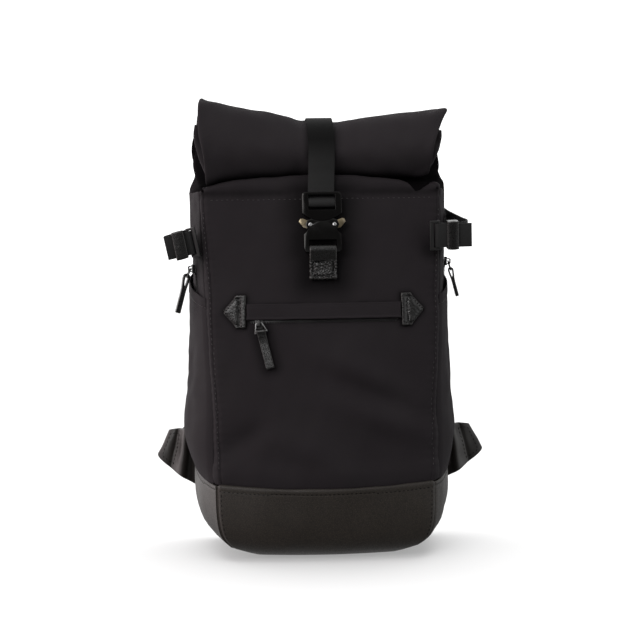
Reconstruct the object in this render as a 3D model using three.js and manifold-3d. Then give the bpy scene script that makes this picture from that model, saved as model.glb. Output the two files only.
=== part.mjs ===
// Roll-top camera backpack in millimetres: +Z up, front towards -Y, standing on its base at z = 0.
import * as THREE from "three";
import { mergeVertices } from "three/addons/utils/BufferGeometryUtils.js";
import Module from "manifold-3d";

// Driving dimensions
const BODY_TOP = 372;
const GAP = 0.4;
const CLOTH = 2;
const LEATHER = 2.4;
const BACK_PAD = 10;
const BASE_FLOOR = 5;
const BASE_CURVE = 60;
const BASE_TOP = { front: 71, seam: 76, back: 110 };
const ROLL_CLOTH = 4;
const ROLL_HALF_WIDTH = 127;
const ROLL_PINCH = 0.13;
const ROLL_LIFT = { left: 24, right: 10.5 };
const STRAP = { width: 26.5, thick: 1.6 };
const BUCKLE = { z: 337, halfWidth: 19.8, top: 31, round: 4, back: 5.4, frameThick: 5.6, bodyThick: 6.6 };
const BUCKLE_WINDOW = { low: 12.5, high: 28 };
const BUCKLE_LIP = { low: 1.25, rise: 7.75, reach: 11, gap: 0.5 };
const BUCKLE_BAR = { radius: 1.9, v: 19.5, w: 8.2 };
const TAB_BAR = { radius: 2, length: 31, v: -28.6, w: 8.4 };
const BUCKLE_TAB = { width: 26, thick: 1.8, end: -57, backW: 1.8, frontW: 4.9 };
const RIVET = { x: 12.2, v: -3, shaft: 1.5, head: 2.2, headThick: 0.9, play: 0.3 };
const LEVER = { thick: 2.4, w: 7.5 };
const LEVER_SLOT = { width: 18, height: 17.5, thick: 3, x: 16, v: -0.75 };
const WELT = { halfWidth: 75.5, low: 242.6, high: 258.2, lowThick: 3.1, highThick: 1.9 };
const POCKET_TAB = { inner: 78.4, reach: 22.7, halfHeight: 16, thick: 1.8 };
const SIDE_STRAP = { width: 24, thick: 1.8, halfBar: 1.3, wrap: 3.2 };
const HOOK = { reach: 9.4, slot: 5.6, halfHeight: 15 };
const KEEPER = { length: 12, thick: 1.5, along: 0.42, behind: 0.8, roomAcross: 1.6, roomUp: 0.6 };
const SLIDER = { width: 8, length: 9, low: 0.7, thick: 2.6 };
const SLIDER_BRIDGE = { width: 3.2, half: 4, top: 7.4, wall: 1.4 };
const LINK = { topHalf: 3.4, lowHalf: 6.8, top: 0.8, wire: 1.4 };
const PULL = { inside: 1.3, middleW: -0.2, apart: 0.15 };
const FRONT_ZIP = {
  x: -65, z: 237.4, lean: 0, fold: 0, swing: 14.4, bridge: 1, link: -9.6, pull: 38, width: 8.6, layer: 1.3,
};
const SHOULDER = { thick: 12, edge: 4, steps: 22 };
const WING = { cloth: 2.2, endGap: 1.6 };
const PANEL_SEAM = 0.0025;
const BASE_RISE = 1.5;

// Plan of the body by height: front seam corner, bow of each wall, back corner
const BODY_SECTIONS = [
  { z: 0, seamX: 76, seamY: -46, frontBow: 8, sideBow: 2, backX: 70, backY: 60 },
  { z: 3, seamX: 86, seamY: -58, frontBow: 11, sideBow: 3, backX: 82, backY: 70 },
  { z: 9, seamX: 96, seamY: -67.5, frontBow: 13, sideBow: 4.5, backX: 95, backY: 77 },
  { z: 20, seamX: 105, seamY: -74, frontBow: 15, sideBow: 8, backX: 109, backY: 82 },
  { z: 36, seamX: 109.5, seamY: -76.5, frontBow: 16, sideBow: 11, backX: 120, backY: 84 },
  { z: 60, seamX: 111, seamY: -77, frontBow: 17, sideBow: 12.5, backX: 126, backY: 84.5 },
  { z: 110, seamX: 111, seamY: -77, frontBow: 17, sideBow: 10.5, backX: 126.5, backY: 85 },
  { z: 160, seamX: 111, seamY: -76, frontBow: 16, sideBow: 9.5, backX: 126, backY: 85 },
  { z: 260, seamX: 116.5, seamY: -66, frontBow: 13, sideBow: 9.5, backX: 124, backY: 85 },
  { z: 330, seamX: 119.5, seamY: -54, frontBow: 10.5, sideBow: 10.5, backX: 124, backY: 85 },
  { z: BODY_TOP, seamX: 120.5, seamY: -45, frontBow: 9, sideBow: 11, backX: 124, backY: 85 },
];

// Plan of the collar by height: it closes to a slot, and its sides fold inwards
const COLLAR_SECTIONS = [
  { z: BODY_TOP, seamX: 120.5, seamY: -45, frontBow: 9, sideBow: 11, backX: 124, backY: 85 },
  { z: 376, seamX: 122, seamY: -37, frontBow: 7, sideBow: 9, backX: 125, backY: 84 },
  { z: 380, seamX: 124, seamY: -22, frontBow: 5, sideBow: 6, backX: 126.5, backY: 82 },
  { z: 392, seamX: 127, seamY: 4, frontBow: 3, sideBow: -2, backX: 128.5, backY: 75 },
  { z: 412, seamX: 128.5, seamY: 27, frontBow: 2, sideBow: -9, backX: 129.5, backY: 62 },
  { z: 432, seamX: 128, seamY: 42, frontBow: 1, sideBow: -4, backX: 129, backY: 52 },
];

// Soft folds of the front cloth: middle, turn in the front view, reach along and across, depth
const FRONT_FOLDS = [
  { x: 36, z: 189, turn: -26, along: 48, across: 12, depth: 3 },
  { x: 47, z: 165, turn: -23, along: 50, across: 11, depth: -1.8 },
  { x: 56, z: 140, turn: -21, along: 56, across: 13, depth: 3 },
  { x: -18, z: 108, turn: -26, along: 46, across: 14, depth: 2.4 },
  { x: -82, z: 122, turn: 32, along: 30, across: 12, depth: -2.4 },
];

// Rolled end of the tube from the collar's slot over the top and round the lower fold: lift is the
// share of the ends' rise that a point takes, left and right are how far that end pulls in there
const ROLL_PATH = [
  { y: 46.5, z: 434, lift: 0, left: 3, right: -2 },
  { y: 42, z: 439, lift: 0.5, left: 3, right: -3 },
  { y: 27, z: 442, lift: 0.9, left: 4.5, right: -5.5 },
  { y: 5, z: 441.5, lift: 1, left: 4.5, right: -7 },
  { y: -20, z: 433.5, lift: 0.9, left: 5, right: -0.5 },
  { y: -42, z: 416, lift: 0.5, left: 4, right: 7.5 },
  { y: -53, z: 397, lift: 0.15, left: 8.5, right: 11.5 },
  { y: -53, z: 387, lift: 0, left: 11.5, right: 15.5 },
  { y: -45, z: 382.5, lift: 0, left: 13, right: 16.5 },
  { y: -32, z: 388, lift: 0, left: 11, right: 14.5 },
  { y: -14, z: 402, lift: 0.1, left: 5, right: 7 },
  { y: 4, z: 416, lift: 0.4, left: 0.5, right: 3.5 },
  { y: 17, z: 426, lift: 0.6, left: 0.5, right: 2 },
];

// Depth of a side pocket away from the wall, from its foot (0) to its opening (1)
const POCKET_DEPTH = [
  { share: 0, depth: 0.5 },
  { share: 0.1, depth: 6.5 },
  { share: 0.22, depth: 9.5 },
  { share: 0.5, depth: 7.6 },
  { share: 0.75, depth: 6.7 },
  { share: 1, depth: 6.3 },
];
const POCKET_OPENING = { front: 263, rise: 28, thick: 1.6, seam: 0.03, fullness: 0.6 };

// Carrying strap from its seam on the back panel over its arch to its lower end
const SHOULDER_PATH = [
  { x: 47, y: 93, z: 318, width: 56 },
  { x: 47, y: 93, z: 350, width: 58 },
  { x: 48, y: 99, z: 372, width: 60 },
  { x: 50, y: 113, z: 384, width: 60 },
  { x: 54, y: 130, z: 377, width: 60 },
  { x: 61, y: 144, z: 346, width: 60 },
  { x: 70, y: 150, z: 305, width: 60 },
  { x: 81, y: 148, z: 258, width: 58 },
  { x: 93, y: 139, z: 213, width: 54 },
  { x: 101, y: 127, z: 176, width: 50 },
  { x: 105, y: 118, z: 154, width: 46 },
];

// Wide lower end of a carrying strap, from the back corner round its outer fold towards the strap:
// its lower and upper edge, outwards positive
const WING_EDGES = [
  { lowX: 114, lowY: 88.5, lowZ: 40, highX: 112, highY: 89, highZ: 106 },
  { lowX: 136, lowY: 88.5, lowZ: 55, highX: 134, highY: 90, highZ: 113 },
  { lowX: 158, lowY: 89, lowZ: 71, highX: 149, highY: 91, highZ: 115 },
  { lowX: 176.5, lowY: 95, lowZ: 87, highX: 162.5, highY: 97, highZ: 113 },
  { lowX: 163, lowY: 106, lowZ: 91, highX: 150, highY: 108, highZ: 112 },
  { lowX: 128, lowY: 113, lowZ: 102, highX: 132, highY: 114.5, highZ: 136 },
];
const WING_ROOT = 114;

// Closure strap from the roll into the buckle and back out behind itself: up the buckle, away from it
const STRAP_IN = [
  { v: 34, w: 3.7 },
  { v: 29, w: 3.6 },
  { v: 25.6, w: 6.2 },
  { v: 22.9, w: 10 },
];
const STRAP_OUT = [
  { v: 24, w: 2.9 },
  { v: 29, w: 1.9 },
  { v: 36, w: 1.8 },
];
const STRAP_BACK_HEIGHTS = [330, 352, 368, 382, 396, 412, 428];
const STRAP_ROLL_SHARES = [0.08, 0.14, 0.2, 0.27, 0.35, 0.43, 0.5, 0.57];

// Loop of a compression strap: share of the way from the hook's bar to the bend, depth behind the turn
const SIDE_LOOP = [
  { share: 0.35, behind: 0 },
  { share: 0.72, behind: 2 },
  { share: 0.95, behind: 9 },
  { share: 1, behind: 20 },
  { share: 0.9, behind: 36 },
];
const SIDE_LANDING = [32, 44, 57];

// What differs from side to side, outwards positive: compression strap in the plan by the hook's bar,
// the tail's end and the loop's bend, its slopes, place of the side zip and its pull, reach of the wing
const SIDES = [
  {
    name: "left", sign: -1, barX: 133, barY: -46, tailX: 158, bendX: 157, hookTurn: 34, hookTilt: 12,
    strapZ: 320, rise: 1, clear: 4.5, zipAlong: 0.32, zipZ: 293, wingReach: 0.94,
    zip: { lean: -30, fold: 13, swing: 0, bridge: 0, link: -10.2, pull: 38, width: 7.6, layer: 2.5 },
  },
  {
    name: "right", sign: 1, barX: 118, barY: -67, tailX: 151, bendX: 149, hookTurn: 10, hookTilt: -1,
    strapZ: 324, rise: 7.5, clear: 4.6, zipAlong: 0.48, zipZ: 296, wingReach: 1.05,
    zip: { lean: -18, fold: 2, swing: 0, bridge: 0, link: -10.2, pull: 28.5, width: 8.4, layer: 1.6 },
  },
];

// Finishes
const cloth = new THREE.MeshStandardMaterial({ color: 0x1b191c, roughness: 0.85 });
const leather = new THREE.MeshStandardMaterial({ color: 0x1f1b18, roughness: 0.5 });
const webbing = new THREE.MeshStandardMaterial({ color: 0x17171a, roughness: 0.6 });
const padding = new THREE.MeshStandardMaterial({ color: 0x1a191b, roughness: 0.9 });
const blackMetal = new THREE.MeshStandardMaterial({ color: 0x0b0b0c, roughness: 0.25, metalness: 0.7 });
const brass = new THREE.MeshStandardMaterial({ color: 0xa8835a, roughness: 0.3, metalness: 1 });
const steel = new THREE.MeshStandardMaterial({ color: 0xc8c8c8, roughness: 0.25, metalness: 1 });

const wasm = await Module();
wasm.setup();
const pack = new THREE.Group();

// Tables
function slopeAt(rows, axis, key, i) {
  const low = rows[Math.max(i - 1, 0)];
  const high = rows[Math.min(i + 1, rows.length - 1)];
  return (high[key] - low[key]) / (high[axis] - low[axis]);
}

// One row of a table at a place between its rows, on smooth curves through all of them
function rowAt(rows, axis, at) {
  const inner = rows.slice(1, -1);
  const i = inner.filter((row) => at > row[axis]).length;
  const low = rows[i];
  const high = rows[i + 1];
  const span = high[axis] - low[axis];
  const s = THREE.MathUtils.clamp((at - low[axis]) / span, 0, 1);
  const row = {};
  for (const key of Object.keys(low)) {
    const rise = high[key] - low[key];
    const a = slopeAt(rows, axis, key, i) * span - rise;
    const b = rise - slopeAt(rows, axis, key, i + 1) * span;
    row[key] = low[key] + rise * s + s * (1 - s) * ((1 - s) * a + s * b);
  }
  return row;
}

// Solids
// A closed body from its points and triangles, turned so that its faces look outwards
function closedGeometry(points, triangles) {
  let volume = 0;
  for (const [a, b, c] of triangles) {
    volume += points[a].dot(points[b].clone().cross(points[c]));
  }
  const facing = volume > 0 ? triangles : triangles.map(([a, b, c]) => [a, c, b]);
  const geometry = new THREE.BufferGeometry().setFromPoints(points);
  return geometry.setIndex(facing.flat());
}

function quad(a, b, c, d) {
  return [[a, b, c], [a, c, d]];
}

// A sheet with thickness: pointAt(u, v, face) gives the outer (1) and the inner (0) face
function sheet(across, up, pointAt) {
  const points = [];
  const triangles = [];
  const at = (face, i, j) => (face * (up + 1) + j) * (across + 1) + i;
  for (const face of [0, 1]) {
    for (let j = 0; j <= up; j += 1) {
      for (let i = 0; i <= across; i += 1) {
        points.push(pointAt(i / across, j / up, face));
      }
    }
  }
  for (let j = 0; j < up; j += 1) {
    for (let i = 0; i < across; i += 1) {
      triangles.push(...quad(at(1, i, j), at(1, i + 1, j), at(1, i + 1, j + 1), at(1, i, j + 1)));
      triangles.push(...quad(at(0, i, j), at(0, i, j + 1), at(0, i + 1, j + 1), at(0, i + 1, j)));
    }
  }
  for (let i = 0; i < across; i += 1) {
    triangles.push(...quad(at(0, i, 0), at(0, i + 1, 0), at(1, i + 1, 0), at(1, i, 0)));
    triangles.push(...quad(at(1, i, up), at(1, i + 1, up), at(0, i + 1, up), at(0, i, up)));
  }
  for (let j = 0; j < up; j += 1) {
    triangles.push(...quad(at(1, 0, j), at(1, 0, j + 1), at(0, 0, j + 1), at(0, 0, j)));
    triangles.push(...quad(at(0, across, j), at(0, across, j + 1), at(1, across, j + 1), at(1, across, j)));
  }
  return closedGeometry(points, triangles);
}

// A body through rings of equal length: the rings close into a loop, or end in a fan at each end
function loft(rings, looped) {
  const count = rings[0].length;
  const points = rings.flat();
  const triangles = [];
  const last = looped ? rings.length : rings.length - 1;
  for (let k = 0; k < last; k += 1) {
    const here = k * count;
    const next = ((k + 1) % rings.length) * count;
    for (let i = 0; i < count; i += 1) {
      const j = (i + 1) % count;
      triangles.push(...quad(here + i, here + j, next + j, next + i));
    }
  }
  if (!looped) {
    for (const [ring, start] of [[rings[0], 0], [rings.at(-1), (rings.length - 1) * count]]) {
      const middle = points.length;
      points.push(ring.reduce((sum, p) => sum.add(p), new THREE.Vector3()).divideScalar(count));
      for (let i = 0; i < count; i += 1) {
        const j = (i + 1) % count;
        triangles.push(start === 0 ? [middle, start + j, start + i] : [middle, start + i, start + j]);
      }
    }
  }
  return closedGeometry(points, triangles);
}

// A flat band bent along a curve in its plane, as an outline ready to extrude across its width
function bandOutline(stops, thick, steps) {
  const path = new THREE.CatmullRomCurve3(stops.map(({ x, y }) => new THREE.Vector3(x, y, 0)));
  const near = [];
  const far = [];
  for (let i = 0; i <= steps; i += 1) {
    const at = path.getPoint(i / steps);
    const along = path.getTangent(i / steps);
    const side = new THREE.Vector3(along.y, -along.x, 0).multiplyScalar(thick / 2);
    near.push(at.clone().add(side));
    far.unshift(at.clone().sub(side));
  }
  return new THREE.Shape([...near, ...far]);
}

function anticlockwise(points) {
  return THREE.ShapeUtils.isClockWise(points) ? points.toReversed() : points;
}

function extrude(shape, depth, curveSegments = 6) {
  return new THREE.ExtrudeGeometry(shape, { depth, bevelEnabled: false, curveSegments });
}

// An outline drawn in the Y-Z plane, extruded along X about the middle
function extrudeAcross(shape, width) {
  const basis = new THREE.Matrix4().makeBasis(
    new THREE.Vector3(0, 1, 0),
    new THREE.Vector3(0, 0, 1),
    new THREE.Vector3(1, 0, 0),
  );
  return extrude(shape, width).translate(0, 0, -width / 2).applyMatrix4(basis);
}

function rod(radius, length, sides = 14) {
  return new THREE.CylinderGeometry(radius, radius, length, sides);
}

function toSolid(geometry) {
  const plain = new THREE.BufferGeometry().setAttribute("position", geometry.getAttribute("position"));
  if (geometry.index) plain.setIndex(geometry.index);
  const merged = mergeVertices(plain, 1e-3);
  const vertProperties = new Float32Array(merged.getAttribute("position").array);
  const triVerts = new Uint32Array(merged.index.array);
  return new wasm.Manifold(new wasm.Mesh({ numProp: 3, vertProperties, triVerts }));
}

function join(geometry, added, cut) {
  let solid = toSolid(geometry);
  for (const piece of added) solid = solid.add(toSolid(piece));
  for (const piece of cut) solid = solid.subtract(toSolid(piece));
  const mesh = solid.getMesh();
  const made = new THREE.BufferGeometry();
  made.setAttribute("position", new THREE.BufferAttribute(new Float32Array(mesh.vertProperties), 3));
  return made.setIndex(new THREE.BufferAttribute(new Uint32Array(mesh.triVerts), 1));
}

function place(name, geometry, material, parent = pack) {
  const mesh = new THREE.Mesh(geometry, material);
  mesh.name = name;
  parent.add(mesh);
  return mesh;
}

// Body surface
function foldDepth(x, z) {
  let depth = 0;
  for (const fold of FRONT_FOLDS) {
    const turn = THREE.MathUtils.degToRad(fold.turn);
    const along = (x - fold.x) * Math.cos(turn) + (z - fold.z) * Math.sin(turn);
    const across = (z - fold.z) * Math.cos(turn) - (x - fold.x) * Math.sin(turn);
    depth += fold.depth * Math.exp(-((along / fold.along) ** 2) - (across / fold.across) ** 2);
  }
  return depth;
}

// A point of one wall: share runs along the wall, anticlockwise seen from above, out is outwards
function wallPoint(rows, wall, share, z, out) {
  const row = rowAt(rows, "z", z);
  const seam = { x: row.seamX + out, y: row.seamY - out };
  const corner = { x: row.backX + out, y: row.backY + out };
  const bow = 4 * share * (1 - share);
  if (wall === "front") {
    const x = THREE.MathUtils.lerp(-seam.x, seam.x, share);
    const folds = rows === BODY_SECTIONS ? foldDepth(x, z) : 0;
    return new THREE.Vector3(x, seam.y - row.frontBow * bow - folds, z);
  }
  if (wall === "back") {
    return new THREE.Vector3(THREE.MathUtils.lerp(corner.x, -corner.x, share), corner.y, z);
  }
  const back = wall === "right" ? share : 1 - share;
  const x = THREE.MathUtils.lerp(seam.x, corner.x, back) + row.sideBow * bow;
  const y = THREE.MathUtils.lerp(seam.y, corner.y, back);
  return new THREE.Vector3(wall === "right" ? x : -x, y, z);
}

function frontPoint(x, z, out) {
  const { seamX } = rowAt(BODY_SECTIONS, "z", z);
  return wallPoint(BODY_SECTIONS, "front", (x + seamX) / (2 * seamX), z, out);
}

// Top edge of the leather base along each wall
function baseTop(wall, share) {
  if (wall === "front") return BASE_TOP.seam - (BASE_TOP.seam - BASE_TOP.front) * 4 * share * (1 - share);
  if (wall === "back") return BASE_TOP.back;
  const back = wall === "right" ? share : 1 - share;
  return BASE_TOP.seam + (BASE_TOP.back - BASE_TOP.seam) * back ** BASE_RISE;
}

// Stops round the whole plan: an odd count across the front keeps its middle inside a facet
const ROUND_PLAN = [["front", 13], ["right", 8], ["back", 7], ["left", 8]].flatMap(([wall, count]) =>
  Array.from({ length: count }, (_, i) => ({ wall, share: i / count })),
);

// A frame on a wall: local X along it, local Y up it, local Z away from it
function frameOn(pointAt) {
  const along = pointAt(1, 0).sub(pointAt(-1, 0)).normalize();
  const up = pointAt(0, 1).sub(pointAt(0, -1));
  const away = along.clone().cross(up).normalize();
  const group = new THREE.Group();
  group.position.copy(pointAt(0, 0));
  const basis = new THREE.Matrix4().makeBasis(along, away.clone().cross(along), away);
  group.quaternion.setFromRotationMatrix(basis);
  group.updateMatrix();
  pack.add(group);
  return group;
}

const frontFrame = (x, z) => frameOn((a, b) => frontPoint(x + a, z + b, 0));

function sideFrame(side, share, z) {
  const step = 0.01;
  const wall = side.sign > 0 ? "right" : "left";
  const start = side.sign > 0 ? share : 1 - share;
  return frameOn((a, b) => wallPoint(BODY_SECTIONS, wall, start + step * a, z + b, 0));
}

// Leather base: a tub with a flat underside and a wall that rises towards the back
function leatherBase() {
  const outerLevels = [0, 3, 9, 20, 36];
  const innerLevels = [BASE_FLOOR, 8, 14, 24, 38];
  const outer = (z) => ROUND_PLAN.map(({ wall, share }) =>
    wallPoint(BODY_SECTIONS, wall, share, z ?? baseTop(wall, share), 0));
  const inner = (z) => ROUND_PLAN.map(({ wall, share }) => {
    const height = z ?? baseTop(wall, share);
    const level = Math.min(height, ((height - BASE_FLOOR) * BASE_CURVE) / (BASE_CURVE - BASE_FLOOR));
    return wallPoint(BODY_SECTIONS, wall, share, level, -LEATHER).setZ(height);
  });
  const rings = [...outerLevels.map(outer), outer(), inner(), ...innerLevels.toReversed().map(inner)];
  place("leather_base", loft(rings, false), leather);
}

// One cloth wall between its seams, from the base to the body's top
function wallPanel(name, wall, thick, across, up, material) {
  const geometry = sheet(across, up, (u, v, face) => {
    const share = THREE.MathUtils.lerp(PANEL_SEAM, 1 - PANEL_SEAM, u);
    const z = THREE.MathUtils.lerp(baseTop(wall, share) + GAP, BODY_TOP, v);
    return wallPoint(BODY_SECTIONS, wall, share, z, face ? 0 : -thick);
  });
  place(name, geometry, material);
}

function collar() {
  const levels = [BODY_TOP + GAP, 376, 380, 388, 398, 412, 432];
  const ring = (out) => (z) => ROUND_PLAN.map(({ wall, share }) =>
    wallPoint(COLLAR_SECTIONS, wall, share, z, out));
  const rings = [...levels.map(ring(0)), ...levels.toReversed().map(ring(-CLOTH))];
  place("collar", loft(rings, true), cloth);
}

// Rise of the roll's top from the strap that pinches its middle towards each end
function rollLift(share) {
  const free = Math.max(0, Math.abs(share) - ROLL_PINCH) / (1 - ROLL_PINCH);
  return share < 0 ? ROLL_LIFT.left * free : ROLL_LIFT.right * free ** 1.3;
}

function rollCurve(share) {
  const lift = rollLift(share);
  return new THREE.SplineCurve(ROLL_PATH.map((row) => new THREE.Vector2(row.y, row.z + row.lift * lift)));
}

function rollTop() {
  const tucks = ROLL_PATH.map(({ left, right }, i) => ({ i, left, right }));
  const geometry = sheet(14, 24, (u, v, face) => {
    const share = 2 * u - 1;
    const path = rollCurve(share);
    const along = path.getTangent(v);
    const side = (face - 0.5) * ROLL_CLOTH;
    const at = path.getPoint(v).add(new THREE.Vector2(along.y, -along.x).multiplyScalar(side));
    const { left, right } = rowAt(tucks, "i", v * (tucks.length - 1));
    return new THREE.Vector3(share * (ROLL_HALF_WIDTH - (share < 0 ? left : right)), at.x, at.y);
  });
  place("roll_top", geometry, cloth);
}

// Closure strap and buckle: v runs up the buckle and w away from the front wall
const buckle = frontFrame(0, BUCKLE.z);

function buckleSpot(v, w) {
  const at = new THREE.Vector3(0, v, w).applyMatrix4(buckle.matrix);
  return new THREE.Vector2(at.y, at.z);
}

function closureStrap() {
  const proud = STRAP.thick / 2 + 3 * GAP;
  const backWall = (z) => wallPoint(z < BODY_TOP ? BODY_SECTIONS : COLLAR_SECTIONS, "back", 0.5, z, proud);
  const upBack = STRAP_BACK_HEIGHTS.map(backWall).map((p) => new THREE.Vector2(p.y, p.z));
  const roll = rollCurve(0);
  const overRoll = STRAP_ROLL_SHARES.map((at) => {
    const along = roll.getTangent(at);
    const lift = ROLL_CLOTH / 2 + proud;
    return roll.getPoint(at).add(new THREE.Vector2(along.y, -along.x).multiplyScalar(lift));
  });
  const wrap = BUCKLE_BAR.radius + GAP + STRAP.thick / 2;
  const round = [1, 0.5, 0, -0.5, -1].map((turn) => {
    const angle = (turn * Math.PI) / 2;
    return buckleSpot(BUCKLE_BAR.v - wrap * Math.cos(angle), BUCKLE_BAR.w + wrap * Math.sin(angle));
  });
  const [into, out] = [STRAP_IN, STRAP_OUT].map((rows) => rows.map(({ v, w }) => buckleSpot(v, w)));
  const stops = [...upBack, ...overRoll, ...into, ...round, ...out];
  place("closure_strap", extrudeAcross(bandOutline(stops, STRAP.thick, 76), STRAP.width), webbing);
}

// Height of the curved lip between the buckle's two halves
function lip(x) {
  return BUCKLE_LIP.low + BUCKLE_LIP.rise * (x / BUCKLE.halfWidth) ** 2;
}

function lipPoints(reach, drop) {
  const xs = [-1, -0.66, -0.33, 0, 0.33, 0.66, 1].map((s) => s * reach);
  return xs.map((x) => new THREE.Vector2(x, lip(x) - drop));
}

function buckleFrame() {
  const { halfWidth, top, round } = BUCKLE;
  const outline = new THREE.Shape(lipPoints(halfWidth, 0));
  outline.lineTo(halfWidth, top - round);
  outline.quadraticCurveTo(halfWidth, top, halfWidth - round, top);
  outline.lineTo(round - halfWidth, top);
  outline.quadraticCurveTo(-halfWidth, top, -halfWidth, top - round);
  const window = STRAP.width / 2 + GAP;
  outline.holes.push(new THREE.Path([
    new THREE.Vector2(-window, BUCKLE_WINDOW.low),
    new THREE.Vector2(window, BUCKLE_WINDOW.low),
    new THREE.Vector2(window, BUCKLE_WINDOW.high),
    new THREE.Vector2(-window, BUCKLE_WINDOW.high),
  ]));
  const plate = extrude(outline, BUCKLE.frameThick, 3).translate(0, 0, BUCKLE.back);
  const bar = rod(BUCKLE_BAR.radius, 2 * window + 3).rotateZ(Math.PI / 2);
  bar.translate(0, BUCKLE_BAR.v, BUCKLE_BAR.w);
  place("buckle_frame", join(plate, [bar], []), blackMetal, buckle);
}

// Right half of the lower buckle's outline below the lip: lobe at the rivet, waist, arm, notch
const BUCKLE_EDGE = [
  { x: 15.2, v: 1.4 },
  { x: 16.8, v: -3 },
  { x: 14.4, v: -8.6 },
  { x: 18.6, v: -13 },
  { x: 18.6, v: -27.5 },
  { x: 16.8, v: -31 },
  { x: 14, v: -31 },
  { x: 14, v: -18.5 },
];

function buckleBody() {
  const right = BUCKLE_EDGE.map(({ x, v }) => new THREE.Vector2(x, v));
  const left = right.toReversed().map((p) => new THREE.Vector2(-p.x, p.y));
  const upper = lipPoints(BUCKLE_LIP.reach, BUCKLE_LIP.gap);
  const plate = extrude(new THREE.Shape([...upper, ...right, ...left]), BUCKLE.bodyThick);
  plate.translate(0, 0, BUCKLE.back);
  const bar = rod(TAB_BAR.radius, TAB_BAR.length).rotateZ(Math.PI / 2).translate(0, TAB_BAR.v, TAB_BAR.w);
  const { width, height, thick, x, v } = LEVER_SLOT;
  const middle = BUCKLE.back + BUCKLE.bodyThick / 2;
  const cuts = SIDES.flatMap(({ sign }) => [
    new THREE.BoxGeometry(width, height, thick).translate(sign * x, v, LEVER.w + LEVER.thick / 2),
    rod(RIVET.shaft + RIVET.play, 3 * BUCKLE.bodyThick)
      .rotateX(Math.PI / 2)
      .translate(sign * RIVET.x, RIVET.v, middle),
  ]);
  place("buckle_body", join(plate, [bar], cuts), blackMetal, buckle);
}

// Release lever about its rivet: ear outside the plate, heel inside its slot
const LEVER_EDGE = [
  { x: -2.8, v: 2.6 },
  { x: 2.4, v: 4.6 },
  { x: 7.6, v: 6.8 },
  { x: 10, v: 6.4 },
  { x: 11.2, v: 3.6 },
  { x: 9, v: 0.6 },
  { x: 6.4, v: -2.6 },
  { x: 1.4, v: -3.6 },
  { x: -2.4, v: -2.4 },
];

function releaseLever({ name, sign }) {
  const outline = new THREE.Shape(LEVER_EDGE.map(({ x, v }) => new THREE.Vector2(sign * x, v)));
  outline.holes.push(new THREE.Path().absarc(0, 0, RIVET.shaft + GAP, 0, 2 * Math.PI));
  const geometry = extrude(outline, LEVER.thick, 8);
  const lever = place(`release_lever_${name}`, geometry, brass, buckle);
  lever.position.set(sign * RIVET.x, RIVET.v, LEVER.w);
}

function rivet({ name, sign }) {
  const foot = BUCKLE.back + RIVET.play;
  const seat = BUCKLE.back + BUCKLE.bodyThick + RIVET.play;
  const profile = [
    new THREE.Vector2(0, foot),
    new THREE.Vector2(RIVET.shaft, foot),
    new THREE.Vector2(RIVET.shaft, seat),
    new THREE.Vector2(RIVET.head, seat),
    new THREE.Vector2(RIVET.head * 0.8, seat + RIVET.headThick),
    new THREE.Vector2(0, seat + RIVET.headThick),
  ];
  const geometry = new THREE.LatheGeometry(profile, 12).rotateX(Math.PI / 2);
  place(`rivet_${name}`, geometry, steel, buckle).position.set(sign * RIVET.x, RIVET.v, 0);
}

// A strip folded round a bar: its two layers lie on each other below the fold
function foldedStrip(bar, inside, layer, backW, frontW, end) {
  const reach = inside + layer / 2;
  const turns = [-1, -0.6, -0.2, 0.2, 0.6, 1].map((turn) => {
    const angle = (turn * Math.PI) / 2;
    return new THREE.Vector2(bar.v + reach * Math.cos(angle), bar.w + reach * Math.sin(angle));
  });
  const neck = bar.v - 5 * reach;
  const stops = [
    new THREE.Vector2(end, backW),
    new THREE.Vector2((end + neck) / 2, backW),
    new THREE.Vector2(neck, backW),
    ...turns,
    new THREE.Vector2(neck, frontW),
    new THREE.Vector2((end + neck) / 2, frontW),
    new THREE.Vector2(end, frontW),
  ];
  return bandOutline(stops, layer, 30);
}

function buckleTab() {
  const { width, thick, end, backW, frontW } = BUCKLE_TAB;
  const outline = foldedStrip(TAB_BAR, TAB_BAR.radius + 2 * GAP, thick, backW, frontW, end);
  place("buckle_tab", extrudeAcross(outline, width), leather, buckle);
}

// Front pocket: a raised strip over the zip, with an arrow-head tab at each end
function pocketWelt() {
  const geometry = sheet(12, 1, (u, v, face) => {
    const x = THREE.MathUtils.lerp(-WELT.halfWidth, WELT.halfWidth, u);
    const z = THREE.MathUtils.lerp(WELT.low, WELT.high, v);
    const thick = THREE.MathUtils.lerp(WELT.lowThick, WELT.highThick, v);
    return frontPoint(x, z, face ? GAP + thick : GAP);
  });
  place("pocket_welt", geometry, cloth);
}

function pocketTab({ name, sign }) {
  const { inner, reach, halfHeight, thick } = POCKET_TAB;
  const frame = frontFrame(sign * (inner + reach / 2), (WELT.low + WELT.high) / 2);
  const edge = [[-0.5, -1], [-0.1, -1], [0.48, -0.08], [0.48, 0.08], [-0.1, 1], [-0.5, 1]];
  const corners = edge.map(([x, v]) => new THREE.Vector2(sign * x * reach, v * halfHeight));
  const outline = new THREE.Shape(corners);
  place(`pocket_tab_${name}`, extrude(outline, thick).translate(0, 0, 2 * GAP), leather, frame);
}

function trapezoid(lowHalf, low, highHalf, high) {
  return [
    new THREE.Vector2(-lowHalf, low),
    new THREE.Vector2(lowHalf, low),
    new THREE.Vector2(highHalf, high),
    new THREE.Vector2(-highHalf, high),
  ];
}

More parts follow.
